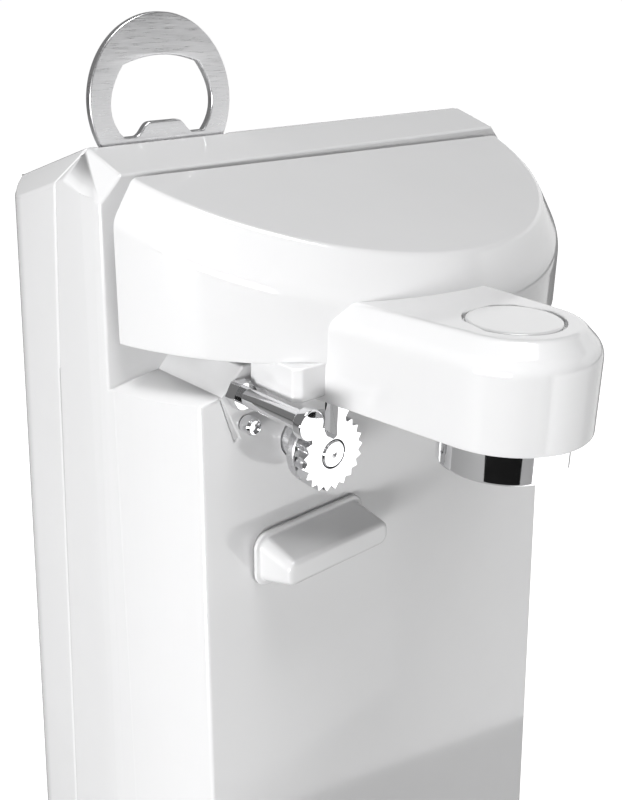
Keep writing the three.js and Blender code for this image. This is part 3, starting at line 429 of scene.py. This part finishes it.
def turned(name, profile, axis, centre, edge, hollow=False, steps=96):
    """A turned piece along axis Y or Z, with its corners rounded by edge.

    The profile is (radius, place along the axis). It is an open path from axis to axis, or the
    corners of a closed path if the piece is hollow.
    """
    if hollow:
        middle = [(a + b) / 2 for a, b in zip(profile[0], profile[1])]
        path = rounded([middle, *profile[1:], profile[0], middle], edge)[:-1]
    else:
        path = rounded(profile, edge)
    rings = []
    for radius, along in path:
        size = max(radius, 0.001)
        ring = []
        for i in range(steps):
            angle = 2 * math.pi * i / steps
            u = centre[0] + size * math.cos(angle)
            v = centre[1] + size * math.sin(angle)
            ring.append((u, along, v) if axis == "Y" else (u, v, along))
        rings.append(ring)
    made = skin(name, rings, hollow)
    even_shading(made)
    return made


def place(piece, matrix):
    """Moves a piece's mesh by a matrix."""
    piece.data.transform(matrix)
    return piece


def baked(piece):
    """Replaces a piece's mesh with what its modifiers make of it."""
    graph = bpy.context.evaluated_depsgraph_get()
    mesh = bpy.data.meshes.new_from_object(piece.evaluated_get(graph))
    piece.modifiers.clear()
    piece.data = mesh
    return piece


def combine(piece, other, operation):
    """Joins or cuts a piece with another one, which is then removed."""
    piece.modifiers.clear()
    change = piece.modifiers.new("combine", "BOOLEAN")
    change.operation = operation
    change.solver = "EXACT"
    change.object = other
    bpy.context.view_layer.update()
    baked(piece)
    bpy.data.objects.remove(other)
    return piece


# ------------------------------------------------------------------------------------------
# Sizes of the visible pieces in millimetres, as in the CAD source: X from the middle of the body,
# Y from the front panel at the height PANEL_Z, Z from the bottom of the feet

BODY_TOP = 257.5
RIDGE_Y = 39.5
TOP_SLOPE = 0.319
LEVER_BOTTOM = 215.0
LEVER_WALL = 2.6
HEAD_RADIUS = 71.0
HEAD_CENTRE_Y = 40.0
HEAD_BACK_Y = 23.6
HEAD_BEVEL = (5.3, 8.7)
ARM_TOP = 229.1
ARM_BOTTOM = 206.0
ARM_BEVEL = 4.4
ARM_END_R = 18.7
ARM_SPREAD = 0.1
ARM_ROOT_Y = -14.0
MAGNET_X, MAGNET_Y = -19.7, -50.1
CAP_R = 10.2
CUP_R = 14.4
CUP_BOTTOM = 197.6
STEM_R = 2.4
CLEAR = 0.3
PANEL_LEAN = 0.0314
PANEL_Z = 204.0
WHEEL_X, WHEEL_Z = -35.7, 190.0
WHEEL_FRONT, WHEEL_THICK = -13.6, 3.8
WHEEL_TIP_R, WHEEL_ROOT_R = 9.35, 8.25
WHEEL_TEETH = 21
SHAFT_R = 3.4
POST_X, POST_Z = -53.4, 206.2
POST_R, NUT_R = 2.2, 3.6
PIN_X, PIN_Z = -51.2, 198.0
RING_X, RING_Z = -42.4, 266.2
PIVOT = Vector((-56.0, 0.0, 226.0))
PIVOT_R = 3.0
LEVER_TILT = math.radians(0.8)
KNIFE_LEFT, KNIFE_RIGHT = -39.6, -34.0
KNIFE_FRONT, KNIFE_THICK = -19.2, 4.4
KNIFE_TOP = 213.0
ROOT_END = 6

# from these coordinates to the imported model's, which is centred in Y; the lever's pieces are
# turned a little about the pivot as well
SHIFT_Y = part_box("drive_wheel")[0].y / MM - WHEEL_FRONT
to_frame = Matrix.Translation((0, SHIFT_Y * MM, 0))
to_lever = (
    to_frame
    @ Matrix.Translation(PIVOT * MM)
    @ Matrix.Rotation(LEVER_TILT, 4, "Y")
    @ Matrix.Translation(-PIVOT * MM)
)


# ------------------------------------------------------------------------------------------
# The lever: head, arm and carrier in one moulding


def edge_profile(top, bottom, bevel_in, bevel_down):
    """(inset, height) up the outside of a lever moulding, with soft edges."""
    path = [
        (0.8, bottom), (0, bottom), (0, top - bevel_down), (bevel_in, top), (bevel_in + 3, top),
    ]
    low = rounded(path[:3], 0.8)[:-1]
    middle = rounded(path[1:4], 2.2, 6)[1:-1]
    high = rounded(path[2:5], 0.9)[1:-1]
    return [*low, *middle, *high]


def head_plan(inset, back_inset):
    """The head seen from above: an arc from side to side, and a straight back."""
    steps, corner, corner_in, corner_out = 96, 0.8, 0.15, 0.35
    radius = HEAD_RADIUS - inset
    end = math.asin((HEAD_CENTRE_Y - HEAD_BACK_Y + back_inset) / radius)
    points = []
    for i in range(steps + 1):
        angle = -math.pi + end + (math.pi - 2 * end) * i / steps
        points.append((radius * math.cos(angle), HEAD_CENTRE_Y + radius * math.sin(angle)))
    (x0, y0), (x1, y1) = points[0], points[-1]
    points[0] = (x0 + corner_in, y0 - corner_out)
    points[-1] = (x1 - corner_in, y1 - corner_out)
    points.append((x1 - corner, y1))
    points.append((x0 + corner, y0))
    return points


def head_ring(inset, height, slanted, back_inset=0):
    """The head's outline at a height, which falls towards the front if slanted."""
    ring = []
    for x, y in head_plan(inset, back_inset):
        fall = TOP_SLOPE * (RIDGE_Y - y) if slanted else 0
        ring.append((x, y, height - fall))
    return ring


def head_cavity(bottom):
    """The hollow under the head."""
    wall = LEVER_WALL
    bevel_in, bevel_down = HEAD_BEVEL
    shoulder = BODY_TOP - bevel_down - wall * 0.4
    rings = [
        head_ring(wall, bottom, False, wall),
        head_ring(wall, shoulder, True, wall),
        head_ring(wall + bevel_in, BODY_TOP - wall, True, wall),
    ]
    return skin("head_cavity", rings)


def make_head():
    rings = []
    wall_foot = LEVER_BOTTOM + 2
    for inset, height in edge_profile(BODY_TOP, LEVER_BOTTOM, *HEAD_BEVEL):
        rings.append(head_ring(inset, height, height > wall_foot))
    head = skin("lever_shell_fine", rings)
    return combine(head, head_cavity(LEVER_BOTTOM - 1.5), "DIFFERENCE")


def arm_plan(inset, root_y):
    """The arm seen from above: a round end round the magnet, and sides that spread to the root."""
    steps = 48
    radius = ARM_END_R - inset
    spread = ARM_SPREAD * (root_y - MAGNET_Y)
    slope = math.atan(ARM_SPREAD)
    points = []
    for i in range(steps + 1):
        angle = math.pi + slope + (math.pi - 2 * slope) * i / steps
        points.append((MAGNET_X + radius * math.cos(angle), MAGNET_Y + radius * math.sin(angle)))
    for side in (1, -1):
        far = (MAGNET_X + side * (radius + spread), root_y)
        near = points[steps] if side > 0 else points[0]
        start, finish = Vector(near), Vector(far)
        along = [tuple(start.lerp(finish, t)) for t in (0.33, 0.66, 1)]
        points.extend(along if side > 0 else reversed(along))
    return points


def make_arm():
    """The arm, with the round recess for its cap in the top and a hollow underneath."""
    hollow_top = ARM_TOP - 2.8
    hollow = arm_plan(LEVER_WALL, ARM_ROOT_Y - LEVER_WALL)
    rings = [[(x, y, z) for x, y in hollow] for z in (hollow_top, ARM_BOTTOM)]
    for inset, height in edge_profile(ARM_TOP, ARM_BOTTOM, ARM_BEVEL, ARM_BEVEL):
        rings.append([(x, y, height) for x, y in arm_plan(inset, ARM_ROOT_Y)])
    outline = arm_plan(ARM_BEVEL + 1, ARM_ROOT_Y)
    recess = CAP_R + 0.6
    lip, depth = 0.35, 1.4
    edge = ((recess + lip, 0), (recess + lip * 0.3, 0.1), (recess, lip), (recess, depth))
    for radius, drop in edge:
        ring = []
        for x, y in outline:
            angle = math.atan2(y - MAGNET_Y, x - MAGNET_X)
            spot = (MAGNET_X + radius * math.cos(angle), MAGNET_Y + radius * math.sin(angle))
            ring.append((*spot, ARM_TOP - drop))
        rings.append(ring)
    arm = combine(skin("arm_part", rings), head_cavity(LEVER_BOTTOM + 3), "DIFFERENCE")
    return combine(arm, knife_block(), "UNION")


def block(low, high):
    """A plain block between two corners, for joining to or cutting from another piece."""
    (x0, y0, z0), (x1, y1, z1) = low, high
    plan = [(x0, y0), (x1, y0), (x1, y1), (x0, y1)]
    return skin("block_part", [[(x, y, z) for x, y in plan] for z in (z0, z1)])


def knife_block():
    """The solid block at the arm's root, into which the knife is let."""
    left, right, front = KNIFE_LEFT - 1.5, KNIFE_RIGHT + 3, KNIFE_FRONT - 3
    return block((left, front, ARM_BOTTOM), (right, ARM_ROOT_Y, KNIFE_TOP + 3))


def make_carrier():
    """The block under the head, beside the knife, and a slimmer part of it up inside the head."""
    left, right, front, back, foot = -50.0, -39.5, -17.0, -0.9, 207.5
    chamfer, round_edge = 1.6, 0.45
    inner_front, inner_back = front + 7.5, back - 0.6
    plan = [
        (right, back), (left, back), (left, front + chamfer), (left + chamfer, front),
        (right, front),
    ]
    levels = (foot, LEVER_BOTTOM + 0.5)
    made = skin("carrier_part", [[(x, y, z) for x, y in plan] for z in levels])
    baked(soften(made, round_edge))
    inside = block((left, inner_front, LEVER_BOTTOM - 2), (right, inner_back, LEVER_BOTTOM + 6))
    return combine(made, inside, "UNION")


def rod(axis, centre, radius, start, end):
    """A plain round rod, for joining to or cutting from another piece."""
    profile = [(0, start), (radius, start), (radius, end), (0, end)]
    return turned("rod_part", profile, axis, centre, 0)


def make_lever_shell():
    """Head, arm and carrier in one moulding, with its hub, switch tab, knife seat and bores."""
    shell = make_head()
    pivot = (PIVOT.x, PIVOT.z)
    hub_r, magnet_hub_r = PIVOT_R + 3.2, 5.4
    tab_left, tab_right, tab_low = PIVOT.x + 14, PIVOT.x + 18, LEVER_BOTTOM + 22.2
    tab_start, tab_end = HEAD_BACK_Y - 6, 34.5
    screw_r, screw_head_r = 1.3, 3.1
    joined = (
        make_arm(),
        make_carrier(),
        rod("Y", pivot, hub_r, 9, HEAD_BACK_Y - 0.5),
        rod("Z", (MAGNET_X, MAGNET_Y), magnet_hub_r, ARM_TOP - 12, ARM_TOP - 2),
        block((tab_left, tab_start, tab_low), (tab_right, tab_end, tab_low + 3)),
    )
    for part in joined:
        combine(shell, part, "UNION")
    knife_low = (KNIFE_LEFT - CLEAR, KNIFE_FRONT - CLEAR, ARM_BOTTOM - 2)
    knife_high = (KNIFE_RIGHT + CLEAR, KNIFE_FRONT + KNIFE_THICK + CLEAR, KNIFE_TOP + CLEAR)
    screw = ((KNIFE_LEFT + KNIFE_RIGHT) / 2, KNIFE_FRONT + KNIFE_THICK / 2)
    removed = (
        rod("Y", pivot, PIVOT_R + 0.15, 8, HEAD_BACK_Y + 2),
        rod("Z", (MAGNET_X, MAGNET_Y), STEM_R + CLEAR, ARM_TOP - 20, ARM_TOP + 2),
        rod("Z", screw, screw_r, KNIFE_TOP - 1, KNIFE_TOP + 8),
        rod("Z", screw, screw_head_r, KNIFE_TOP + 2.7, KNIFE_TOP + 9),
        block(knife_low, knife_high),
    )
    for part in removed:
        combine(shell, part, "DIFFERENCE")
    crisp_edges(shell)
    even_shading(shell)
    return place(shell, to_lever)


# ------------------------------------------------------------------------------------------
# Pieces on the front panel


def arc(x, z, radius, start, end, steps):
    """Points along an arc, both ends included; start and end are in degrees."""
    angles = [math.radians(start + (end - start) * i / steps) for i in range(steps + 1)]
    return [(x + radius * math.cos(a), z + radius * math.sin(a)) for a in angles]


def bezier(*controls):
    """Points along a Bezier curve of any degree, without its last point."""
    steps = 12
    made = []
    for i in range(steps):
        level = [Vector(point) for point in controls]
        while len(level) > 1:
            level = [a.lerp(b, i / steps) for a, b in zip(level, level[1:])]
        made.append(tuple(level[0]))
    return made


def cut_plate(name, outlines, front, back, edge):
    """A plate across the Y axis with rounded edges; outlines are closed paths of (x, z)."""
    data = bpy.data.curves.new(name, "CURVE")
    data.dimensions = "2D"
    data.fill_mode = "BOTH"
    data.extrude = ((back - front) / 2 - edge) * MM
    data.bevel_depth = edge * MM
    data.offset = -edge * MM
    data.bevel_resolution = 2
    for outline in outlines:
        spline = data.splines.new("POLY")
        spline.points.add(len(outline) - 1)
        for point, (x, z) in zip(spline.points, outline):
            point.co = (x * MM, z * MM, 0, 1)
        spline.use_cyclic_u = True
    flat = add_object(name + "_outline", data)
    bpy.context.view_layer.update()
    graph = bpy.context.evaluated_depsgraph_get()
    mesh = bpy.data.meshes.new_from_object(flat.evaluated_get(graph))
    bpy.data.objects.remove(flat)
    piece = add_object(name, mesh)
    shape = bmesh.new()
    shape.from_mesh(mesh)
    bmesh.ops.remove_doubles(shape, verts=shape.verts, dist=0.000001)
    bmesh.ops.recalc_face_normals(shape, faces=shape.faces)
    shape.to_mesh(mesh)
    shape.free()
    middle = Matrix.Translation((0, (front + back) / 2 * MM, 0))
    place(piece, middle @ Matrix.Rotation(math.pi / 2, 4, "X"))
    crisp_edges(piece)
    even_shading(piece)
    return piece


def panel_y(z):
    """How far back the leaning front panel lies at a height."""
    return PANEL_LEAN * (z - PANEL_Z)


def make_wheel():
    """The drive wheel, with small flats on the tips and at the roots of its teeth."""
    outline = []
    tip_half, root_half = 0.7, 0.9
    for i in range(WHEEL_TEETH):
        tip = 360 * i / WHEEL_TEETH
        root = tip + 180 / WHEEL_TEETH
        outline += arc(WHEEL_X, WHEEL_Z, WHEEL_TIP_R, tip - tip_half, tip + tip_half, 1)
        outline += arc(WHEEL_X, WHEEL_Z, WHEEL_ROOT_R, root - root_half, root + root_half, 1)
    bore = arc(WHEEL_X, WHEEL_Z, SHAFT_R + CLEAR, 0, 360, 96)[:-1]
    back, edge = WHEEL_FRONT + WHEEL_THICK, 0.06
    wheel = cut_plate("drive_wheel_fine", [outline, bore], WHEEL_FRONT, back, edge)
    return place(wheel, to_frame)


def make_shaft():
    """The wheel's shaft, with a chamfered front end and a shallow centre mark."""
    front, end = WHEEL_FRONT - 0.25, 18.2
    profile = [
        (0, front + 0.5), (0.9, front), (SHAFT_R - 0.3, front), (SHAFT_R, front + 0.4),
        (SHAFT_R, end), (0, end),
    ]
    shaft = turned("drive_shaft_fine", profile, "Y", (WHEEL_X, WHEEL_Z), 0.15)
    return place(shaft, to_frame)


def make_bushing():
    """The shaft's bushing, with a flange behind the wheel."""
    front = WHEEL_FRONT + WHEEL_THICK + 0.4
    back, end = front + 2.8, 10.5
    bore, body, flange = SHAFT_R + 0.15, 4.9, 9.0
    profile = [
        (bore, end), (bore, front), (flange, front), (flange, back), (body, back), (body, end),
    ]
    bushing = turned("shaft_bushing_fine", profile, "Y", (WHEEL_X, WHEEL_Z), 0.7, True)
    return place(bushing, to_frame)


def make_post():
    """The locating post, with a flanged end and a hexagonal root."""
    base = panel_y(POST_Z) - CLEAR
    tip, flange, neck, nut_front = -25.5, 3.5, 2.0, base - 3
    shoulder, nut_edge = base - 0.4, 0.35
    profile = [
        (0, tip), (flange, tip), (flange, tip + 2.6), (POST_R, tip + 2.9), (POST_R, shoulder),
        (neck, shoulder), (neck, ROOT_END), (0, ROOT_END),
    ]
    post = turned("locating_post_fine", profile, "Y", (POST_X, POST_Z), 0.4)
    rings = []
    for y, reach in ((nut_front, NUT_R - nut_edge), (nut_front + 0.5, NUT_R), (base, NUT_R)):
        ring = []
        for i in range(72):
            angle = 2 * math.pi * i / 72
            flat = NUT_R * math.cos(math.pi / 6) / math.cos(angle % (math.pi / 3) - math.pi / 6)
            size = min(flat, reach)
            ring.append((POST_X + size * math.cos(angle), y, POST_Z + size * math.sin(angle)))
        rings.append(ring)
    combine(post, skin("nut_part", rings), "UNION")
    crisp_edges(post)
    even_shading(post)
    return place(post, to_frame)


def make_pin():
    """The short locating pin, with a chamfered tip."""
    base = panel_y(PIN_Z) - CLEAR
    tip, radius, neck = -3.8, 2.2, 1.8
    profile = [
        (0, tip), (radius - 0.5, tip), (radius, tip + 0.6), (radius, base), (neck, base),
        (neck, ROOT_END), (0, ROOT_END),
    ]
    pin = turned("locating_pin_fine", profile, "Y", (PIN_X, PIN_Z), 0.12)
    return place(pin, to_frame)


def make_guide():
    """The can guide: a slim block that narrows towards the front, on a thin flange."""
    left, right = -49.6, -16.2
    back_top = WHEEL_Z - 22.6
    back_bottom = back_top - 12
    front_top = back_top - 2
    front_bottom = front_top - 6.4
    back = panel_y(back_bottom) - CLEAR
    flange = back - 1.2
    # (growth, Y, low, high, corner radius) from the front to the back
    levels = [
        Vector((-1.3, -14.0, front_bottom, front_top, 1.2)),
        Vector((0, -13.4, front_bottom, front_top, 2.5)),
        Vector((0.2, flange, back_bottom, back_top, 3.2)),
        Vector((1.4, flange, back_bottom, back_top, 4.0)),
        Vector((1.4, back, back_bottom, back_top, 4.0)),
    ]
    rings = []
    for grow, y, z0, z1, radius in rounded(levels, 0.7):
        x0, x1, low, high = left - grow, right + grow, z0 - grow, z1 + grow
        ring = arc(x1 - radius, low + radius, radius, -90, 0, 10)
        ring += arc(x1 - radius, high - radius, radius, 0, 90, 10)
        ring += arc(x0 + radius, high - radius, radius, 90, 180, 10)
        ring += arc(x0 + radius, low + radius, radius, 180, 270, 10)
        rings.append([(x, y, z) for x, z in ring])
    guide = skin("can_guide_fine", rings)
    even_shading(guide)
    return place(guide, to_frame)


def make_bottle_opener():
    """A round plate on a stem, with a hole whose tongue lifts the cap."""
    x, z = RING_X, RING_Z
    outer, stem = 20, 13
    half, tongue, low = 17.8, -4.5, -7.6
    rivet_x, rivet_z, rivet_r = 7, BODY_TOP - 23, 1.8
    foot = BODY_TOP - 28 - z
    span = math.degrees(math.asin(stem / outer))
    plate = [(-stem, foot), (stem, foot), *arc(0, 0, outer, -90 + span, 270 - span, 128)]
    hole = [
        *bezier((-10.6, 8.6), (-half, -0.6), (-11.4, low)),
        (-11.4, low),
        *bezier((-8.2, low), (-6.2, -7.2), (-6, tongue), (-3.6, tongue)),
        (-3.6, tongue),
        *bezier((3.6, tongue), (6, tongue), (6.2, -7.2), (8.2, low)),
        (8.2, low),
        *bezier((11.4, low), (half, -0.6), (10.6, 8.6)),
        *bezier((10.6, 8.6), (0, 12.4), (-10.6, 8.6)),
    ]
    moved = [[(x + a, z + b) for a, b in path] for path in (plate, hole)]
    for side in (-1, 1):
        moved.append(arc(x + side * rivet_x, rivet_z, rivet_r, 0, 360, 24)[:-1])
    front, back, edge = RIDGE_Y + 0.6, RIDGE_Y + 2.6, 0.35
    opener = cut_plate("bottle_opener_fine", moved, front, back, edge)
    return place(opener, to_frame)


# ------------------------------------------------------------------------------------------
# Pieces on the lever's arm


def arm_piece(name, profile, base, edge, steps=96):
    """A piece turned round the magnet's axis; the profile's heights are taken from a base."""
    lifted = [(radius, base + z) for radius, z in profile]
    return place(turned(name, lifted, "Z", (MAGNET_X, MAGNET_Y), edge, steps=steps), to_lever)


def make_cap():
    """The round cap in the top of the arm."""
    profile = [(0, -1), (CAP_R, -1), (CAP_R, 0), (0, 0)]
    return arm_piece("magnet_cap_fine", profile, ARM_TOP, 0.8)


def make_cup():
    """The cup that holds the magnet, and its stem up through the arm."""
    rim, pocket, roof, stem_top = CUP_R - 2, 4.3, 12.4, 27.5
    profile = [
        (0, pocket), (rim, pocket), (rim, 0), (CUP_R, 0), (CUP_R, roof), (STEM_R, roof),
        (STEM_R, stem_top), (0, stem_top),
    ]
    return arm_piece("magnet_cup_fine", profile, CUP_BOTTOM, 0.6, 128)


def make_magnet():
    """The magnet's disc in the cup's mouth."""
    radius, bottom, top = CUP_R - 2.3, 0.2, 4
    profile = [(0, bottom), (radius, bottom), (radius, top), (0, top)]
    return arm_piece("magnet_fine", profile, CUP_BOTTOM, 0.4)


# ------------------------------------------------------------------------------------------
# Pieces placed by the boxes of their CAD nodes


def node_box(node):
    """The low and high corners of a CAD node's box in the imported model, in millimetres."""
    low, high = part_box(node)
    return low / MM, high / MM


def make_foot(node):
    """A rubber foot: a round pad with a stem above it."""
    low, high = node_box(node)
    centre = ((low.x + high.x) / 2, (low.y + high.y) / 2)
    radius, pad, stem = 7.0, 2.2, 2.6
    profile = [(0, 0), (radius, 0), (radius, pad), (stem, pad), (stem, high.z), (0, high.z)]
    return turned(node + "_fine", profile, "Z", centre, 0.6)


def make_cover_screw(node):
    """A screw with a domed head and a plain cross recess."""
    low, high = node_box(node)
    x, z, back = (low.x + high.x) / 2, (low.z + high.z) / 2, high.y
    shank, head = 1.2, 2.9
    under, rim = back - 2.2, back - 0.6
    slot_half, slot_reach = 0.35, 1.7
    profile = [
        (0, low.y), (shank, low.y), (shank, under - 0.2), (head, under), (head, rim), (0, back),
    ]
    screw = turned(node + "_fine", profile, "Y", (x, z), 0.2)
    for wide, tall in ((slot_half, slot_reach), (slot_reach, slot_half)):
        slot = block((x - wide, back - 1.3, z - tall), (x + wide, back + 1, z + tall))
        combine(screw, slot, "DIFFERENCE")
    crisp_edges(screw)
    even_shading(screw)
    return screw


def make_inlet():
    """The bush of the cord inlet: a sleeve with a groove for the rear cover's wall."""
    low, high = node_box("cord_inlet")
    centre = ((low.x + high.x) / 2, (low.z + high.z) / 2)
    start, end = low.y, high.y
    outside = end - 3.0
    bore, groove, rim = 4.2, 5.9, 8.2
    inner = outside - 3.1
    outer = outside + 0.6
    profile = [
        (bore, end), (bore, start), (rim, start), (rim, inner),
        (groove, inner), (groove, outer), (rim, outer), (rim, end),
    ]
    return turned("cord_inlet_fine", profile, "Y", centre, 0.5, True)


def finish_piece(piece, node, slot):
    """Gives a piece its material, and puts it in place of its CAD node."""
    piece.data.materials.append(looks[slot])
    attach(piece, frame["nodes"][node]["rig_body"])
    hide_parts(node)


# ------------------------------------------------------------------------------------------
# The scene

looks = make_looks()
make_camera()
make_stage()
make_light()

for node, bevel in (
    ("front_housing", 0.6), ("rear_cover", 0.8), ("lever_cover", 0.3), ("arm_cover", 0.3),
    ("base_plate", 0.4),
):
    finish_piece(clean_copy(node, bevel), node, "white_plastic")
finish_piece(make_lever_shell(), "lever_shell", "white_plastic")
finish_piece(make_guide(), "can_guide", "white_plastic")
finish_piece(make_cap(), "magnet_cap", "white_plastic")
finish_piece(make_wheel(), "drive_wheel", "polished_steel")
finish_piece(make_shaft(), "drive_shaft", "polished_steel")
finish_piece(make_bushing(), "shaft_bushing", "brushed_steel")
finish_piece(make_post(), "locating_post", "polished_steel")
finish_piece(make_pin(), "locating_pin", "polished_steel")
finish_piece(clean_copy("knife", 0.15), "knife", "polished_steel")
finish_piece(make_bottle_opener(), "bottle_opener", "brushed_steel")
finish_piece(make_cup(), "magnet_cup", "polished_steel")
finish_piece(make_magnet(), "magnet", "magnet")
for corner in ("front_left", "front_right", "rear_left", "rear_right"):
    finish_piece(make_foot("foot_" + corner), "foot_" + corner, "rubber")
for i in range(4):
    node = f"cover_screw_{i + 1}"
    finish_piece(make_cover_screw(node), node, "zinc_plate")
finish_piece(make_inlet(), "cord_inlet", "rubber")

# the works inside the casing keep their CAD shapes
INNER_LOOKS = {
    "zinc_plate": (
        "pivot_pin", "middle_axle", "first_axle", "gear_plate_front", "gear_plate_rear",
        "motor_bracket", "motor_bolt_1", "motor_bolt_2", "plate_spacer_1", "plate_spacer_2",
        "plate_spacer_3", "plate_screw_1", "plate_screw_2", "plate_screw_3", "knife_screw",
    ),
    "dark_steel": ("pivot_clip", "shaft_clip", "motor_core", "motor_pinion"),
    "nylon": ("output_gear", "middle_gear", "first_gear"),
    "brushed_steel": ("motor_rotor",),
    "copper": ("motor_coil",),
    "black_plastic": ("switch_body", "switch_plunger"),
}
for slot, nodes in INNER_LOOKS.items():
    for node in nodes:
        carried = frame["nodes"][node]
        carried.data.materials.clear()
        carried.data.materials.append(looks[slot])
